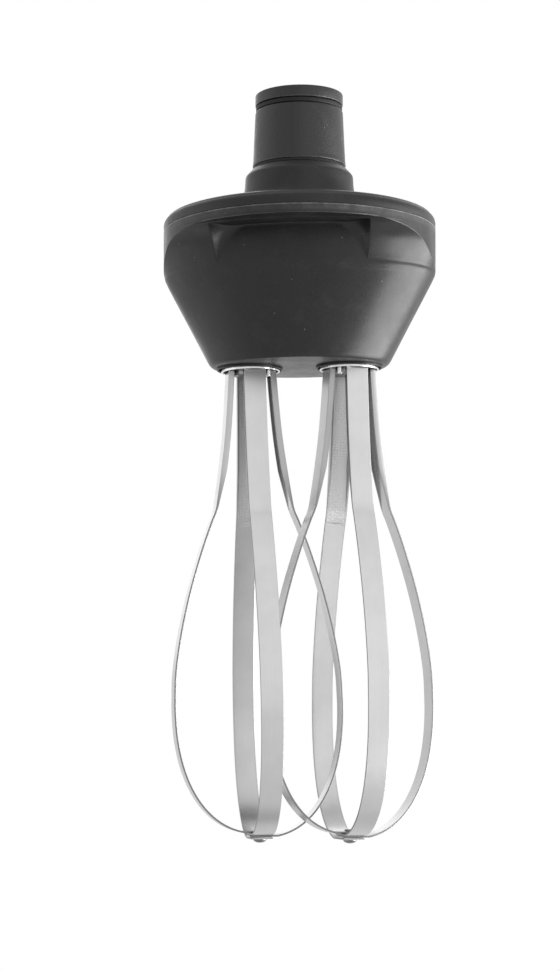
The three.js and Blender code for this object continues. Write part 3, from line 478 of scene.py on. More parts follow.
# neck: sleeve, end ring, rubber ring, foot seal and drive dog
neckSizes = {
    "topRadius": 19.3, "footRadius": 20.5, "boreRadius": 14.5, "threadRadius": 16.7,
    "top": 33.4, "ringUnder": 28.5, "sleeveTop": 26.1, "threadTop": 31.4, "foot": 1.5,
    "floor": 14.0, "flangeRadius": 21.5, "flangeTop": -13.5, "flangeUnder": -16.5,
    "seamHeight": 0.12, "shaftHole": 9.5, "sealSeat": 11.3, "sealFloor": 2.8,
    "segments": 192, "sealSegments": 144,
    "dogRadius": 7, "dogUnder": 14.3, "dogTop": 22.5, "dogBore": (4.3, 13, 18.4),
    "bores": {"neckScrew": (1.2, -17.5, -12.5, 24)},
}


def buildNeck():
    n = neckSizes
    seams = [(turn, n["foot"] + 1.4, n["sleeveTop"] - 0.9, n["seamHeight"])
             for turn in (-pi / 2, pi / 2)]
    sleeve = turned("neckSleeve", [
        (n["shaftHole"], n["flangeUnder"], 0), (n["flangeRadius"], n["flangeUnder"], 0.3),
        (n["flangeRadius"], n["flangeTop"], 0.3), (17.5, n["flangeTop"], 0),
        (17.5, n["foot"], 0), (n["footRadius"], n["foot"], 0.35),
        (n["footRadius"], n["foot"] + 1, 0.5), (n["footRadius"] - 0.2, n["foot"] + 2, 0.6),
        (n["topRadius"], n["sleeveTop"] - 0.8, 0.5), (n["topRadius"] - 0.6, n["sleeveTop"], 0.25),
        (n["threadRadius"], n["sleeveTop"], 0.2), (n["threadRadius"], n["threadTop"], 0.3),
        (n["boreRadius"], n["threadTop"], 0.3), (n["boreRadius"], n["floor"], 0.5),
        (n["sealSeat"], n["floor"], 0.3), (n["sealSeat"], n["sealFloor"], 0),
        (n["shaftHole"], n["sealFloor"], 0),
    ], n["segments"], ridges=seams)
    cutRods(sleeve, n["bores"])
    # the sleeve's foot edge is lighter: a worn tone and a painted highlight line
    rubAndHighlightAt(sleeve, 1.4, 1.8, 20.2, 0.55)
    fit(sleeve, "housing", "neck", "neck", "neck_sleeve")
    ring = turned("neckEndRing", [
        (n["boreRadius"], n["top"], 0.35), (n["topRadius"], n["top"], 0.9),
        (n["topRadius"], n["ringUnder"], 0.3), (17.0, n["ringUnder"], 0.1),
        (17.0, 31.7, 0), (n["boreRadius"], 31.7, 0.2)], n["segments"])
    # the end ring's lower edge is lighter: a worn tone and a painted highlight line
    rubAndHighlightAt(ring, 28.4, 28.75, 18.9, 0.35)
    fit(ring, "housing", "neck", "neck", "neck_end_ring")
    rubberRing = turned("neckRubberRing", [
        (17.2, 26.22, 0.3), (18.98, 26.22, 0.45), (18.98, 28.16, 0.55), (17.2, 28.16, 0.3)],
        n["sealSegments"])
    fit(rubberRing, "housing", "rubber", "rubber", "neck_o_ring")
    seal = turned("neckFootSeal", [
        (17.8, 0.08, 0.15), (20.35, 0.08, 0.3), (20.35, 1.36, 0.2), (17.8, 1.36, 0.15)],
        n["sealSegments"])
    fit(seal, "housing", "rubber", "rubber", "neck_foot_seal")
    dog = turned("driveDog", [
        (0, n["dogUnder"], 0), (n["dogRadius"], n["dogUnder"], 0),
        (n["dogRadius"], n["dogTop"], 1.0), (0, n["dogTop"], 0)],
        6, loop=False, steps=3, start=pi / 2)
    combine(dog, rod(*n["dogBore"]))
    soften(dog, 0.3, 2, 40)
    fit(dog, "input_shaft", "steel", "steel", "drive_dog")


buildNeck()
print("stage: neck built")


# top cover, with four sunk screw holes
coverSizes = {
    "lip": -27.08, "under": -26.85, "cavityRadius": 46.0, "wall": 3.2,
    "domeRadius": 31.5, "domeTop": -16.8, "domeFall": 0.17, "screwHole": 2.2,
    "sinkRadius": 3.8, "sinkFloor": -22.838, "sinkTop": -20.9, "sinkFlare": 1.2, "segments": 288,
    "bores": {"neckScrew": (1.2, -14.2, -6.5, 24)},
}


def buildCover():
    c = coverSizes
    rim, wall = rimRadius, c["wall"]

    def dome(r):
        return c["domeTop"] - c["domeFall"] * (r - c["domeRadius"])

    outside = flowing([(r, dome(r)) for r in (31.6, 40.0, 50.0, 56.8)]
                      + [(58.6, -22.43), (59.5, -23.6), (rim, -25.0)], 5)
    outside = [(min(r, rim), z) for r, z in outside]
    collar = eased([
        (20.2, 0.0, 0), (20.9, 0.0, 0.3), (23.7, -3.1, 0.8), (24.0, -8.4, 2.0),
        (25.3, -14.4, 3.2), (c["domeRadius"], dome(c["domeRadius"]), 0)], loop=False, steps=8)
    inside = eased([
        (rim, c["lip"], 0.12), (58.4, c["lip"], 0), (58.2, c["under"], 0),
        (c["cavityRadius"], c["under"], 0),
        (c["cavityRadius"], dome(c["cavityRadius"]) - wall, 0.6),
        (27.0, dome(27) - wall, 0), (22.1, -17.7, 0), (22.1, -13.2, 0), (17.8, -13.2, 0),
        (17.8, 0.0, 0.3)])
    cover = facesOut(turnedPiece("topCover", collar + outside + inside, c["segments"]))
    hole, sink, top = c["screwHole"], c["sinkRadius"], c["sinkTop"] + c["sinkFlare"]
    for place in places["screw"]:
        combine(cover, facesOut(turnedPiece("hole", [
            (0, -28.0), (hole, -28.0), (hole, c["sinkFloor"]), (sink, c["sinkFloor"]),
            (sink, c["sinkTop"]), (sink + c["sinkFlare"], top), (0, top)], 40, place)))
    cutRods(cover, c["bores"])
    fit(cover, "housing", "shell", "shell", "top_cover", sharpAngle=28)


buildCover()
print("stage: top cover built")


# gear housing: oval taper, cove under the rim cut off by the round rim, finger recesses
# the cove's line is (share of its height, how far it stands out)
coveLine = [(0.0, 0.0), (0.27, 1.6), (0.636, 4.9), (0.848, 8.9), (0.97, 13.1), (1.0, 14.6)]
housingSizes = {
    "halfDepth": 38.5, "top": -27.15, "rimUnder": -31.2, "crease": -46.2, "foot": -87.0,
    "tipX": 32.37, "outerDrift": 2.2, "innerDrift": -5.0, "recessTop": 0.955,
    "recessCeiling": 1.03, "ceilingRun": 0.03, "cornerEase": 0.35, "innerEase": 0.6,
    "ceilingEase": 0.7, "lipEase": 0.3, "rimEase": 0.5, "sideColumns": 46, "wallColumns": 5,
    "recessColumns": 30, "cornerColumns": 5, "filletColumns": 10, "coveRows": 20, "lipRows": 6,
    "denseRun": 0.05, "denseStep": 0.006, "topEase": 0.35,
    # worn marks: how far the worn and painted highlight line reaches and fades, the band's worn tone
    # with painted sheen, and a painted sheen on the right of the front
    "rubAndHighlightReach": 1.6, "rubAndHighlightFade": 0.85, "bandWearAndSheen": 0.13, "rightSheen": 0.22, "rightSheenX": 24.0,
    "lipRadius": 14.6, "lipFoot": -88.0, "socketRadius": 13.9, "socketTop": -75.0,
    "sealHole": 13.3, "shaftTop": -63.1, "open": -26.15, "cavity": (46.0, -29.2),
    "groove": (55.35, 57.45, -28.65),
    "bosses": {"socket": (16.3, -88.0, -64.1, 64), "idler": (7.0, -88.0, -64.1, 40),
               "post": (3.5, -88.0, -48.3, 32), "screw": (5.2, -39.54, -25.0, 32)},
    "bores": {"idler": (5.5, -72.1, -63.1, 40), "screw": (2.2, -36.84, -26.15, 32),
              "post": (1.7, -55.0, -47.0, 24)},
}


def ellipse(length, depth, turn):
    return Vector((length * cos(turn), depth * sin(turn)))


def housingQuarter():
    # columns of points from the foot up to the housing's top, from the side to the front
    h = housingSizes
    radius, depth, crease = rimRadius, h["halfDepth"], h["crease"]
    rows, lipRows, opening = h["coveRows"], h["lipRows"], h["recessTop"]
    coveHeight = h["rimUnder"] - crease
    quarterTurn = pi / 2
    lower = flowing([
        (40.47, 31.39, -84.4), (48.8, 34.17, -68.5), (57.2, 36.94, -52.6), (58.7, 37.75, -49.6),
        (59.55, 38.32, -47.7), (radius, depth, crease)], 7)
    start, corner, end = (Vector(v) for v in (
        (37.0, 30.1, h["foot"]), (39.1, 30.94, h["foot"]), lower[0]))
    lower = [tuple(bend(start, corner, end, k / 6)) for k in range(6)] + lower
    lower = [(min(a, radius), min(b, depth), z) for a, b, z in lower]
    cove = flowing(coveLine, 8)

    def swell(share):
        # how far the cove stands out at a share of its height
        for (s0, out0), (s1, out1) in zip(cove, cove[1:]):
            if share <= s1:
                return out0 + (out1 - out0) * (share - s0) / (s1 - s0)
        return cove[-1][1]

    def towards(a, b, spare):
        gap = (b - a).length
        return ((b - a).normalized() if gap > 1e-6 else Vector(spare)), gap

    def wallTurns(share):
        # where the end wall of a finger recess meets the cove and the back wall
        out = swell(share)
        return (out, acos((h["tipX"] + h["outerDrift"] * share) / (radius + out)),
                acos((h["tipX"] + h["innerDrift"] * share) / radius))

    def pointAt(kind, u, share):
        out, outerTurn, innerTurn = wallTurns(share)
        outer = ellipse(radius + out, depth + out, outerTurn)
        inner = ellipse(radius, depth, innerTurn)
        along, length = towards(outer, inner, (0, 0))
        reach, innerReach = min(h["cornerEase"], length * 0.3), length * h["innerEase"]
        sideTurn = outerTurn - reach / ellipse(radius, depth, outerTurn + quarterTurn).length
        backTurn = innerTurn + innerReach / ellipse(radius, depth, innerTurn + quarterTurn).length
        if kind == "side":
            return ellipse(radius + out, depth + out, sideTurn * u)
        if kind == "outer":
            sideEnd = ellipse(radius + out, depth + out, sideTurn)
            return bend(sideEnd, outer, outer + along * reach, u)
        if kind == "wall":
            return (outer + along * reach).lerp(inner - along * innerReach, u)
        if kind == "inner":
            return bend(inner - along * innerReach, inner, ellipse(radius, depth, backTurn), u)
        return ellipse(radius, depth, backTurn + (quarterTurn - backTurn) * u)

    def lifted(p, share):
        return Vector((*p, crease + coveHeight * share))

    def lipPoint(w, share):
        # the cove carries on above the recess, from its end wall round to the front
        out, outerTurn, _ = wallTurns(share)
        turn = outerTurn + (quarterTurn - outerTurn) * w
        return lifted(ellipse(radius + out, depth + out, turn), share)

    def recessUpper(kind, u, w):
        # up the recess's wall, out under its ceiling, and up the lip of the cove
        tall = opening + (h["recessCeiling"] - opening) * min(1.0, w / h["ceilingRun"])
        corner, lip = lifted(pointAt(kind, u, tall), tall), lipPoint(w, opening)
        outward, gap = towards(corner, lip, (0, 0, 0))
        ease = min(h["ceilingEase"], gap * 0.4)
        under = tall - ease / coveHeight
        upper = [lifted(pointAt(kind, u, share), share)
                 for share in (under * k / rows for k in range(1, rows + 1))]
        upper += [bend(upper[-1], corner, corner + outward * ease, k / 3) for k in (1, 2, 3)]
        ease = min(h["lipEase"], gap * 0.3)
        start = opening + ease / coveHeight
        a, b = upper[-1], lip - outward * ease
        upper += [a.lerp(b, 0.5), b]
        upper += [bend(b, lip, lipPoint(w, start), k / 3) for k in (1, 2, 3)]
        upper += [lipPoint(w, start + (1 - start) * k / lipRows) for k in range(1, lipRows + 1)]
        return upper

    def sideUpper(u):
        # up the cove, which ends where it reaches the round rim
        top = 1.0
        if pointAt("side", u, top).length > radius:
            low, high = 0.0, 1.0
            for _ in range(36):
                top = (low + high) / 2
                if pointAt("side", u, top).length < radius:
                    low = top
                else:
                    high = top
        dense = opening - h["denseRun"]
        shares = [dense * k / rows for k in range(1, rows + 1)]
        shares += [dense + h["denseStep"] * k for k in range(1, 9)]
        shares += [opening + (1 - opening) * k / lipRows for k in range(1, lipRows + 1)]
        upper = []
        for share in shares:
            p = pointAt("side", u, top * share)
            upper.append(lifted(p.normalized() * radius if p.length > radius else p, top * share))
        return upper, top

    # each column: its kind, its place along that, and its share of the way round the recess's lip
    kinds = []
    for kind, columns, skip, shareFrom, shareTo in (
            ("side", h["sideColumns"], 0, 0.0, 0.0),
            ("outer", h["cornerColumns"], 1, 0.0, 0.012),
            ("wall", h["wallColumns"], 0, 0.012, 0.05),
            ("inner", h["filletColumns"], 1, 0.05, 0.25),
            ("recess", h["recessColumns"], 0, 0.25, 1.0)):
        kinds += [(kind, i / columns, shareFrom + (shareTo - shareFrom) * i / columns)
                  for i in range(skip, columns + 1 - skip)]
    creaseTurn = acos(h["tipX"] / radius)
    columns, rubsAndHighlights = [], []
    for kind, u, w in kinds:
        turn = creaseTurn * u if kind == "side" else creaseTurn
        if kind == "recess":
            turn += (quarterTurn - creaseTurn) * u
        column = [Vector((*ellipse(a, b, turn), z)) for a, b, z in lower]
        upper, top = sideUpper(u) if kind == "side" else (recessUpper(kind, u, w), 1.0)
        edge, before = upper.pop(), upper[-1]
        flat = Vector((edge.x, edge.y)).normalized()
        rim = Vector((*(flat * radius), h["rimUnder"]))
        inward, rise = towards(edge, before, (0, 0, -1))
        outward, across = towards(edge, rim, (0, 0, 1))
        rimReach = min(h["rimEase"], across * 0.45)
        reach = min(rise * 0.9, rimReach)
        below, start = edge + inward * reach, edge + outward * reach
        end = rim - outward * rimReach
        column += upper
        column += [bend(below, edge, start, k / 4) for k in range(5)]
        column += [start.lerp(end, k / 3) for k in (1, 2)]
        column += [bend(end, rim, rim + Vector((0, 0, rimReach)), k / 4) for k in range(5)]
        shoulder = Vector((*(flat * radius), h["top"]))
        column += [shoulder - Vector((0, 0, 2.0)), shoulder - Vector((0, 0, 0.75))]
        ease = h["topEase"]
        column += [bend(shoulder - Vector((0, 0, ease)), shoulder,
                        shoulder - Vector((*(flat * ease), 0)), k / 3) for k in range(4)]
        columns.append(column)
        # the worn line runs up the arch and along the rim's lower edge, fading over the recess; it
        # is a worn tone and a painted highlight on these edges, the rim's band gets a faint worn
        # tone with painted sheen, and the top edge a painted highlight line at the seam
        arch = [0.0, 0.3, 0.5, 0.3, 0.0]
        near = max(0.0, 1 - across / h["rubAndHighlightReach"])
        atEdge, atRim = (1.0, near) if top < 1.0 else (near, 1 - h["rubAndHighlightFade"] * w)
        marks = ([v * atEdge for v in arch] + [0.0] * 2 + [v * atRim for v in arch]
                 + [h["bandWearAndSheen"]] * 2 + [1.0, 1.0, 1.0, 0.6])
        rubsAndHighlights.append([0.0] * (len(column) - len(marks)) + marks)
    return columns, rubsAndHighlights


def markRubsAndHighlights(piece, quarter, rubsAndHighlights):
    # the housing's four quarters are alike, so each point is looked up in the first one
    h = housingSizes
    spots = [(p * mm, r) for column, row in zip(quarter, rubsAndHighlights)
             for p, r in zip(column, row) if r > 0]
    tree = KDTree(len(spots))
    for i, (p, _) in enumerate(spots):
        tree.insert(p, i)
    tree.balance()
    values = []
    for v in piece.data.vertices:
        _, i, gap = tree.find((abs(v.co.x), abs(v.co.y), v.co.z))
        rubAndHighlight = spots[i][1] if gap < 4e-6 else 0.0
        if rubAndHighlight == h["bandWearAndSheen"]:
            # the rim's band gets a painted sheen, lighter on the right of its front
            rubAndHighlight += h["rightSheen"] * max(0.0, 1 - abs(v.co.x / mm / h["rightSheenX"] - 1))
        values.append(rubAndHighlight)
    mark(piece, "rubbed", values)


def closedRing(name, ring):
    # a solid from closed rounds of columns, each from its foot to its top
    tall, count = len(ring[0]), len(ring)
    points = [tuple(p) for column in ring for p in column]
    faces = []
    for i in range(count):
        a, b = i * tall, ((i + 1) % count) * tall
        faces += [(a + k, b + k, b + k + 1, a + k + 1) for k in range(tall - 1)]
    faces.append([i * tall for i in range(count)])
    faces.append([i * tall + tall - 1 for i in range(count)])
    return facesOut(newPiece(name, points, faces))


def housingBlank(quarter):
    def mirrored(columns, sx, sy):
        return [[(p.x * sx, p.y * sy, p.z) for p in c] for c in columns]

    return closedRing("gearHousing", mirrored(quarter, 1, 1) + mirrored(quarter[-2::-1], -1, 1)
                      + mirrored(quarter[1:], -1, -1) + mirrored(quarter[-2:0:-1], 1, -1))


def buildHousing():
    h = housingSizes
    quarter, rubsAndHighlights = housingQuarter()
    housing = housingBlank(quarter)
    levels = [(38.2, 28.63, -83.0), (54.2, 33.94, -52.6), (56.28, 35.19, -46.0),
              (56.28, 35.19, h["open"])]
    cavity = closedRing("cavity", [
        [(*ellipse(a, b, 2 * pi * i / 96), z) for a, b, z in levels] for i in range(96)])
    combine(cavity, rod(*h["cavity"], h["open"], segments=128), "UNION")
    cutRods(cavity, h["bosses"])
    combine(housing, cavity)
    low, wide, deep = h["lipFoot"], h["socketRadius"], h["socketTop"]
    for place in places["socket"]:
        lip = turned("lip", [
            (0, low, 0), (h["lipRadius"], low, 0.3), (h["lipRadius"], -86.0, 0), (0, -86.0, 0)],
            96, place, loop=False)
        combine(housing, lip, "UNION")
        combine(housing, turned("socket", [
            (0, -88.6, 0), (14.2, -88.6, 0), (14.2, low, 0), (wide, -87.6, 0.2), (wide, deep, 0.4),
            (h["sealHole"], deep, 0), (h["sealHole"], h["shaftTop"], 0), (0, h["shaftTop"], 0)],
            96, place, loop=False))
    cutRods(housing, h["bores"])
    inner, outer, floor = h["groove"]
    combine(housing, facesOut(turnedPiece("groove", [
        (inner, floor), (outer, floor), (outer, h["open"]), (inner, h["open"])], 192)))
    facesOut(housing)
    markRubsAndHighlights(housing, quarter, rubsAndHighlights)
    fit(housing, "housing", "shell", "shell", "gear_housing")


buildHousing()
print("stage: gear housing built")


# geometry trees: a strip that follows its path, and screws stood on points
def newTree(name, inputs):
    tree = bpy.data.node_groups.new(name, "GeometryNodeTree")
    sockets = [("Geometry", "Geometry", "OUTPUT"), ("Geometry", "Geometry", "INPUT")]
    for label, kind, way in sockets + [(*pair, "INPUT") for pair in inputs]:
        tree.interface.new_socket(name=label, in_out=way, socket_type="NodeSocket" + kind)
    return tree, node(tree, "NodeGroupInput").outputs, node(tree, "NodeGroupOutput")


def namedValue(tree, name):
    return first(tree, "GeometryNodeInputNamedAttribute", data_type="FLOAT", Name=name)


def storedValue(tree, geometry, name, value):
    return first(tree, "GeometryNodeStoreNamedAttribute", data_type="FLOAT", domain="POINT",
                 Name=name, Geometry=geometry, Value=value)


def finishTree(tree, geometry, given, end):
    real = first(tree, "GeometryNodeRealizeInstances", Geometry=geometry)
    feed(tree, end, {"Geometry": first(
        tree, "GeometryNodeSetMaterial", Geometry=real, Material=given["Material"])})
    return tree


def stripTree():
    # the bar's points carry their place along and across the strip; the tree lays them on its path
    tree, given, end = newTree("stripAlongPath", [
        ("Path", "Object"), ("Width", "Float"), ("Thickness", "Float"),
        ("Channel depth", "Float"), ("Turn", "Vector"), ("Material", "Material")])
    path = node(tree, "GeometryNodeObjectInfo", Object=given["Path"]).outputs["Geometry"]
    curve = first(tree, "GeometryNodeMeshToCurve", Mesh=path)
    along = namedValue(tree, "along")
    sample = node(tree, "GeometryNodeSampleCurve", mode="FACTOR", Curves=curve, Factor=along)
    outward = vectorSums(tree, "CROSS_PRODUCT", sample.outputs["Tangent"], (0, 1, 0))
    halfWidth, halfThick = (times(tree, given[key], 0.5) for key in ("Width", "Thickness"))
    across = times(tree, namedValue(tree, "side"),
                   sums(tree, "SUBTRACT", halfWidth, namedValue(tree, "inset")))
    out = times(tree, namedValue(tree, "face"),
                sums(tree, "SUBTRACT", halfThick, namedValue(tree, "sink")))
    deep = sums(tree, "SUBTRACT", given["Channel depth"], given["Thickness"])
    flange = times(tree, namedValue(tree, "flange"), namedValue(tree, "channel"))
    out = sums(tree, "SUBTRACT", out, times(tree, flange, deep))
    sideways = first(tree, "ShaderNodeCombineXYZ", Y=across)
    place = vectorSums(tree, "ADD", sample.outputs["Position"], sideways)
    place = vectorSums(tree, "ADD", place, vectorSums(tree, "SCALE", outward, out))
    shape = first(tree, "GeometryNodeSetPosition", Geometry=given["Geometry"], Position=place)
    length = first(tree, "GeometryNodeCurveLength", Curve=curve)
    shape = storedValue(tree, shape, "alongStrip", times(tree, along, length))
    shape = storedValue(tree, shape, "acrossStrip", across)
    shape = first(tree, "GeometryNodeMergeByDistance", Geometry=shape, Distance=1e-6)
    shape = first(tree, "GeometryNodeTransform", Geometry=shape, Rotation=given["Turn"])
    return finishTree(tree, shape, given, end)


def screwTree():
    tree, given, end = newTree("screwsOnPoints", [
        ("Screw", "Object"), ("Seed", "Int"), ("Material", "Material")])
    info = node(tree, "GeometryNodeObjectInfo", Object=given["Screw"], **{"As Instance": True})
    spin = node(tree, "FunctionNodeRandomValue", data_type="FLOAT_VECTOR", Seed=given["Seed"])
    spin.inputs[1].default_value = (0, 0, 2 * pi)
    return finishTree(tree, first(
        tree, "GeometryNodeInstanceOnPoints", Points=given["Geometry"],
        Instance=info.outputs["Geometry"], Rotation=spin.outputs["Value"]), given, end)


def runTree(piece, tree, values):
    step = piece.modifiers.new(tree.name, "NODES")
    step.node_group = tree
    sockets = {s.name: s.identifier for s in tree.interface.items_tree
               if s.item_type == "SOCKET" and s.in_out == "INPUT"}
    for name, value in values.items():
        step[sockets[name]] = value
    return settle(piece)


# whisks: hub, ferrule, pin, four channel strips and the rivet, all in the whisk's own frame
whiskSizes = {
    "pivot": -66.7, "stripWidth": 9.7, "stripThickness": 0.8, "channelDepth": 2.6,
    # the flanges' outsides take painted shade, less of it on the left whisk's left strip
    "edgeEase": 0.16, "flangeThick": 0.8, "flangeRunOut": 18.8, "flangePaintedShade": 0.52,
    "flangePaintedShadeLeft": 0.1, "kinkEase": 2.6, "channelEnd": 4.6, "pressHeight": 0.17,
    "pressRows": (-1.5, -0.9, -0.45, 0.0, 0.4, 0.8, 1.3),
    "bellyRadius": 37.2, "bellyZ": -235.5, "fullness": 0.88, "footRadius": 7.4, "tail": 5.2,
    "lowest": -294.6, "layerStep": 0.9, "rivetHole": 1.6, "bellySteps": 36,
    "left": {"phase": 16.5, "lean": 1.1, "pinTurn": -45.0},
    "right": {"phase": 24.0, "lean": 0.0, "pinTurn": -135.0},
}
stripLayers = [("back", 90), ("right", 0), ("front", -90), ("left", 180)]


def stripPath(layer):
    w = whiskSizes
    upper = flowing([(10.0, -78.1), (10.0, -86.1), (11.99, -112.98), (14.26, -131.54),
                     (17.1, -150.1)], 8)
    lower = flowing([(17.1, -150.1), (19.71, -156.08), (24.34, -168.9), (29.56, -185.97),
                     (33.78, -203.9), (36.5, -220.98), (w["bellyRadius"], w["bellyZ"])], 6)
    # the bend between the two is rounded
    kink = Vector(lower[0])
    start, end = (kink + (Vector(p) - kink).normalized() * w["kinkEase"]
                  for p in (upper[-2], lower[2]))
    upper, lower = ([p for p in part if (Vector(p) - kink).length > w["kinkEase"] + 0.3]
                    for part in (upper, lower))
    rounded = [tuple(bend(start, kink, end, k / 6)) for k in range(7)]
    upper, lower = upper + rounded[:4], rounded[3:] + lower
    levelZ = w["lowest"] + w["stripThickness"] / 2 + layer * w["layerStep"]
    endAngle = acos((w["footRadius"] / w["bellyRadius"]) ** (1 / w["fullness"]))
    fall = (w["bellyZ"] - levelZ) / sin(endAngle) ** w["fullness"]
    for i in range(1, w["bellySteps"] + 1):
        angle = endAngle * i / w["bellySteps"]
        lower.append((w["bellyRadius"] * cos(angle) ** w["fullness"],
                      w["bellyZ"] - fall * sin(angle) ** w["fullness"]))
    return upper, lower + [(-w["tail"], levelZ)]


def stripBar(name, upper, lower, flangeShade):
    w = whiskSizes
    path = upper + lower[1:]
    runs = [0.0]
    for a, b in zip(path, path[1:]):
        runs.append(runs[-1] + dist(a, b))
    kink = runs[len(upper) - 1]
    # rows of the bar: every path point, and closer where the flanges run out
    rows = sorted(set(runs + [kink - w["flangeRunOut"] * k / 6 for k in range(1, 7)]
                      + [kink + w["channelEnd"] + d for d in w["pressRows"]]))
    rows = [a for a, b in zip(rows, rows[1:] + [1e9]) if b - a > 0.02]
    e, f = w["edgeEase"], w["flangeThick"]
    # side, inset, face, sink, on the flange, inside the channel, on a sheared edge
    half = [(0.5, 0, 1, 0, 0, 0, 0), (1, e + 0.2, 1, 0, 0, 0, 0), (1, e, 1, 0, 0, 0, 0.3),
            (1, e * 0.3, 1, e * 0.3, 0, 0, 1), (1, 0, 1, e, 0, 0, 1), (1, 0, -1, e, 1, 0, 1),
            (1, e, -1, 0, 1, 0, 0.3), (1, f, -1, 0, 1, 0, 0), (1, f, -1, 0, 0, 1, 0),
            (1, f + 0.2, -1, 0, 0, 1, 0), (0.5, 0, -1, 0, 0, 1, 0)]
    section = [(0, 0, 1, 0, 0, 0, 0)] + half + [(0, 0, -1, 0, 0, 1, 0)]
    section += [(-s, *rest) for s, *rest in reversed(half)]

    def pressed(run, side):
        # a low ridge and a dip across the strip, where the press let go
        past = run - kink - w["channelEnd"]
        ridge = max(0.0, 1 - abs(past + 0.45) / 0.45) - max(0.0, 1 - abs(past - 0.4) / 0.4)
        return w["pressHeight"] * ridge * (1 if abs(side) < 1 else 0)

    points, faces, values = [], [], []
    for run in rows:
        gone = (run - (kink - w["flangeRunOut"])) / w["flangeRunOut"]
        channel = 1 - min(1.0, max(0.0, gone))
        inChannel = run < kink + w["channelEnd"] - 1.2
        for s, i, o, k, g, c, cut in section:
            points.append((run, s * 4 + i, o + g))
            # the flat strip's sides and the flanges' tips are shear-cut and darker; the flanges'
            # outsides get painted shade
            flangeEdgeOrShade = 0.7 if g and i > 0 else flangeShade if cut == 1 else 0.0
            values.append({
                "along": run / runs[-1], "side": s, "inset": i * mm, "face": o,
                "sink": (k - c * pressed(run, s)) * mm, "flange": g, "channel": channel,
                "inChannel": c if inChannel else 0, "edge": cut * (1 - channel) + flangeEdgeOrShade * channel})
    n = len(section)
    for r in range(len(rows) - 1):
        for i in range(n):
            j = (i + 1) % n
            faces.append((r * n + i, r * n + j, (r + 1) * n + j, (r + 1) * n + i))
    faces.append(list(range(n)))
    faces.append([(len(rows) - 1) * n + i for i in reversed(range(n))])
    bar = newPiece(name, points, faces)
    for label in values[0]:
        mark(bar, label, [v[label] for v in values])
    return bar, path


def whiskPlace(side):
    w = whiskSizes
    x = places["socket"][0 if side == "left" else 1][0]
    return (Matrix.Translation((x * mm, 0, w["pivot"] * mm))
            @ Matrix.Rotation(-radians(w[side]["lean"]), 4, "Y")
            @ Matrix.Translation((0, 0, -w["pivot"] * mm))
            @ Matrix.Rotation(radians(w[side]["phase"]), 4, "Z"))


def hang(piece, side, slotName, finish, nodeName, **more):
    # takes a piece from the whisk's own frame to its place, and hangs it there
    piece.data.transform(whiskPlace(side))
    fit(piece, side + "_whisk", slotName, finish, side + nodeName, **more)


def buildHub(side):
    hub = turned("hub", [
        (0, -90.5, 0), (7.9, -90.5, 1.1), (7.9, -77.8, 0.2), (0, -77.8, 0)], 96, loop=False)
    for size in ((18.6, 7.4, 9.2), (7.4, 18.6, 9.2)):
        combine(hub, block("pad", size, (0, 0, -82.4), 0.5), "UNION")
    stub = turned("stub", [
        (0, -78.8, 0), (4.95, -78.8, 0), (4.95, -56.7, 0.8), (0, -56.7, 0)],
        6, loop=False, steps=3, start=pi / 2)
    groove = turnedPiece("groove", [(4.1, -60.6), (5.95, -60.6), (5.95, -58.8), (4.1, -58.8)], 48)
    combine(stub, facesOut(groove))
    combine(hub, stub, "UNION")
    facesOut(hub)
    hub.name = hub.data.name = side + "Hub"
    hang(hub, side, "steel", "hub", "_whisk_hub", sharpAngle=30)


def buildFerrule(side):
    ferrule = turned(side + "Ferrule", [
        (5.25, -77.5, 0.1), (12.2, -77.5, 0.4), (12.2, -88.8, 0.3), (13.0, -88.8, 0.35),
        (13.0, -76.7, 0.9), (5.25, -76.7, 0.1)], 144)
    hang(ferrule, side, "chrome", "chrome", "_ferrule")
    turn = radians(whiskSizes[side]["pinTurn"])
    pin = turned(side + "Pin", [
        (0, -91.5, 0), (1.1, -91.5, 0.5), (1.1, -77.8, 0.1), (0, -77.8, 0)],
        32, (9.4 * cos(turn), 9.4 * sin(turn)), loop=False)
    hang(pin, side, "chrome", "chrome", "_ferrule_pin")


def buildStrips(side, tree):
    w = whiskSizes
    for layer, (name, turn) in enumerate(stripLayers):
        upper, lower = stripPath(layer)
        # the left whisk's left strip gets less painted shade on its flanges' outsides
        flangeShade = w["flangePaintedShadeLeft"] if side == name == "left" else w["flangePaintedShade"]
        strip, path = stripBar(side + "Strip" + name.capitalize(), upper, lower, flangeShade)
        line = bpy.data.meshes.new("path")
        line.from_pydata([(r * mm, 0, z * mm) for r, z in path],
                         [(i, i + 1) for i in range(len(path) - 1)], [])
        guide = newObject("path", line)
        runTree(strip, tree, {
            "Path": guide, "Width": w["stripWidth"] * mm, "Thickness": w["stripThickness"] * mm,
            "Channel depth": w["channelDepth"] * mm, "Turn": (0.0, 0.0, radians(turn)),
            "Material": finishes["strip"]})
        bpy.data.objects.remove(guide)
        combine(facesOut(strip), rod(w["rivetHole"], -296.0, -289.0, segments=32))
        hang(strip, side, "strip", "strip", "_strip_" + name, sharpAngle=30)


def buildRivet(side):
    dome = flowing([(0.0, -296.35), (0.85, -296.29), (1.65, -296.1), (2.4, -295.7),
                    (2.85, -295.2), (3.0, -294.75)], 4)
    rest = eased([(3.0, -294.75, 0), (1.3, -294.75, 0), (1.3, -290.95, 0), (2.4, -290.95, 0.1),
                  (2.3, -290.15, 0.5), (0, -290.15, 0)], loop=False)
    rivet = facesOut(turnedPiece(side + "Rivet", dome + rest[1:], 64))
    hang(rivet, side, "steel", "rivet", "_rivet")


stripFollower = stripTree()
for side in ("left", "right"):
    buildHub(side)
    buildFerrule(side)
    buildStrips(side, stripFollower)
    buildRivet(side)
    print("stage:", side, "whisk built")


# cover screws: one pan head with a cross recess, stood on four points
screwSizes = {"headRadius": 3.5, "headHeight": 2.2, "shankRadius": 1.9, "length": 14.0,
              "seat": -22.538, "recess": 1.3, "slotLength": 4.0, "slotWidth": 0.95, "seed": 4}


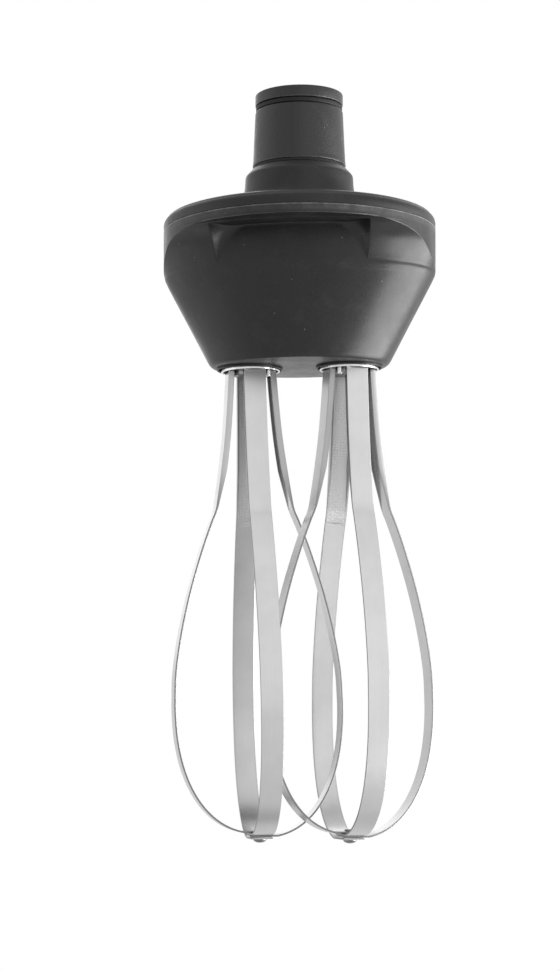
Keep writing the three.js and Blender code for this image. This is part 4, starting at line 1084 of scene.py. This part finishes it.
def buildScrews():
    s = screwSizes
    head, tall, shank = s["headRadius"], s["headHeight"], s["shankRadius"]
    screw = turned("screw", [
        (0, tall, 0), (head * 0.7, tall, 0.5), (head, tall * 0.6, 0.5), (head, 0, 0.2),
        (shank, 0, 0.1), (shank, shank - s["length"], 0.1), (0, -s["length"], 0)], 48, loop=False)
    for size in ((s["slotLength"], s["slotWidth"]), (s["slotWidth"], s["slotLength"])):
        combine(screw, block("slot", (*size, s["recess"] * 2), (0, 0, tall)))
    screws = newPiece("coverScrews", [(*place, s["seat"]) for place in places["screw"]], [])
    runTree(screws, screwTree(), {"Screw": screw, "Seed": s["seed"], "Material": finishes["steel"]})
    bpy.data.objects.remove(screw)
    fit(screws, "housing", "steel", "steel", *["cover_screw_%d" % i for i in range(1, 5)],
        sharpAngle=30)


buildScrews()
print("stage: screws set")


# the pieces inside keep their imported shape; the first word found in a name picks the finish
innerFinish = [
    ("bearing_plate", "alloy"), ("gear", "gear"), ("pinion", "gear"), ("bush", "bronze"),
    ("seal", "rubber"),
]


def dressInner():
    for name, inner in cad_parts.items():
        if inner.hide_render:
            continue
        finish = next((f for key, f in innerFinish if key in name), "steel")
        for slot in inner.material_slots:
            slot.material = finishes[finish]


dressInner()
print("stage: inner pieces dressed")


# stage, light and camera
stageSizes = {"floorDrop": 1.5, "floorHalf": 12.0, "white": 1.0, "floorColour": 0.82,
              "floorSeen": 0.97, "fadeFrom": 0.20, "fadeTo": 0.62, "worldLight": 0.42}


def seenWhite(tree):
    # 1 for rays that show the background: camera, glossy and transmission
    path = node(tree, "ShaderNodeLightPath").outputs
    seen = sums(tree, "ADD", path["Is Camera Ray"], path["Is Glossy Ray"])
    return sums(tree, "ADD", seen, path["Is Transmission Ray"], clamp=True)


def buildStage():
    s = stageSizes
    low, half = cadBox[0][2] - s["floorDrop"], s["floorHalf"]
    mesh = bpy.data.meshes.new("floor")
    corners = [(-half, -half, low), (half, -half, low), (half, half, low), (-half, half, low)]
    mesh.from_pydata(corners, [], [(0, 1, 2, 3)])
    floor = newObject("floor", mesh)
    material, tree, shader, where = newMaterial("paleFloor")
    tree.nodes.remove(shader)
    seen = seenWhite(tree)
    matt = node(tree, "ShaderNodeBsdfDiffuse",
                Color=laid(tree, seen, s["floorColour"], s["floorSeen"]))
    glow = node(tree, "ShaderNodeEmission", Strength=s["white"], Color=(1, 1, 1, 1))
    # the floor fades to plain white away from under the object
    reach = node(tree, "ShaderNodeVectorMath", operation="LENGTH")
    plug(tree, reach.inputs[0], vectorSums(tree, "MULTIPLY", where, (1, 1, 0)))
    fade = mapped(tree, reach.outputs["Value"], 0, 1, s["fadeFrom"], s["fadeTo"], "SMOOTHSTEP")
    blend = node(tree, "ShaderNodeMixShader", Fac=times(tree, fade, seen))
    for socket, part in zip(blend.inputs[1:], (matt, glow)):
        plug(tree, socket, part.outputs[0])
    plug(tree, tree.nodes["Material Output"].inputs["Surface"], blend.outputs[0])
    mesh.materials.append(material)
    world = bpy.data.worlds.new("studio")
    bpy.context.scene.world = world
    world.use_nodes = True
    tree = world.node_tree
    feed(tree, tree.nodes["Background"], {
        "Color": (1, 1, 1, 1),
        "Strength": mapped(tree, seenWhite(tree), s["worldLight"], s["white"])})


lampSizes = {
    "rightBox": {"at": (0.80, 0.06, -0.40), "aim": -0.06, "size": (0.90, 0.60), "watts": 16.0},
    "sideBox": {"at": (0.84, 0.04, 0.11), "aim": 0.02, "size": (1.0, 0.17), "watts": 1.5},
    "backBox": {"at": (-0.31, 0.85, 0.40), "aim": -0.14, "size": (0.42, 1.24), "watts": 1.15},
    "frontBox": {"at": (0.52, -0.74, 0.33), "aim": -0.14, "size": (0.75, 1.36), "watts": 0.95},
    "leftBox": {"at": (-0.80, -0.12, -0.15), "aim": -0.10, "size": (0.8, 0.9), "watts": 0.95},
    "topBox": {"at": (-0.05, 0.80, 0.70), "aim": 0.0, "size": (0.8, 0.5), "watts": 1.3},
}


def buildLamps():
    # each lamp looks at a height on the neck's axis
    for name, l in lampSizes.items():
        data = bpy.data.lights.new(name, "AREA")
        data.shape = "RECTANGLE"
        data.size, data.size_y = l["size"]
        data.energy = l["watts"]
        lamp = newObject(name, data)
        lamp.location = l["at"]
        look = Vector((0, 0, l["aim"])) - Vector(l["at"])
        lamp.rotation_euler = look.to_track_quat("-Z", "Y").to_euler()
        lamp.visible_camera = False


cameraPlace = {"turn": 5.700, "distance": 1.046103, "height": -0.248137,
               "yaw": 2.882, "pitch": 1.150, "focal": 2377.275, "shiftRight": 100.0,
               "shiftUp": 200.0, "longSide": 971.0, "sensor": 36.0}


def buildCamera():
    c = cameraPlace
    data = bpy.data.cameras.new("camera")
    data.sensor_fit = "AUTO"
    data.sensor_width = c["sensor"]
    data.lens = c["focal"] * c["sensor"] / c["longSide"]
    data.shift_x = c["shiftRight"] / c["longSide"]
    data.shift_y = c["shiftUp"] / c["longSide"]
    data.clip_start, data.clip_end = 0.01, 100
    camera = newObject("camera", data)
    turn = radians(c["turn"])
    camera.location = (sin(turn) * c["distance"], -cos(turn) * c["distance"], c["height"])
    swing, pitch = turn + radians(c["yaw"]), radians(c["pitch"])
    level = cos(pitch)
    look = Vector((-sin(swing) * level, cos(swing) * level, sin(pitch)))
    camera.rotation_euler = look.to_track_quat("-Z", "Y").to_euler()
    bpy.context.scene.camera = camera


buildStage()
buildLamps()
buildCamera()
bpy.context.scene.view_settings.view_transform = "Standard"
print("stage: floor, light and camera ready")
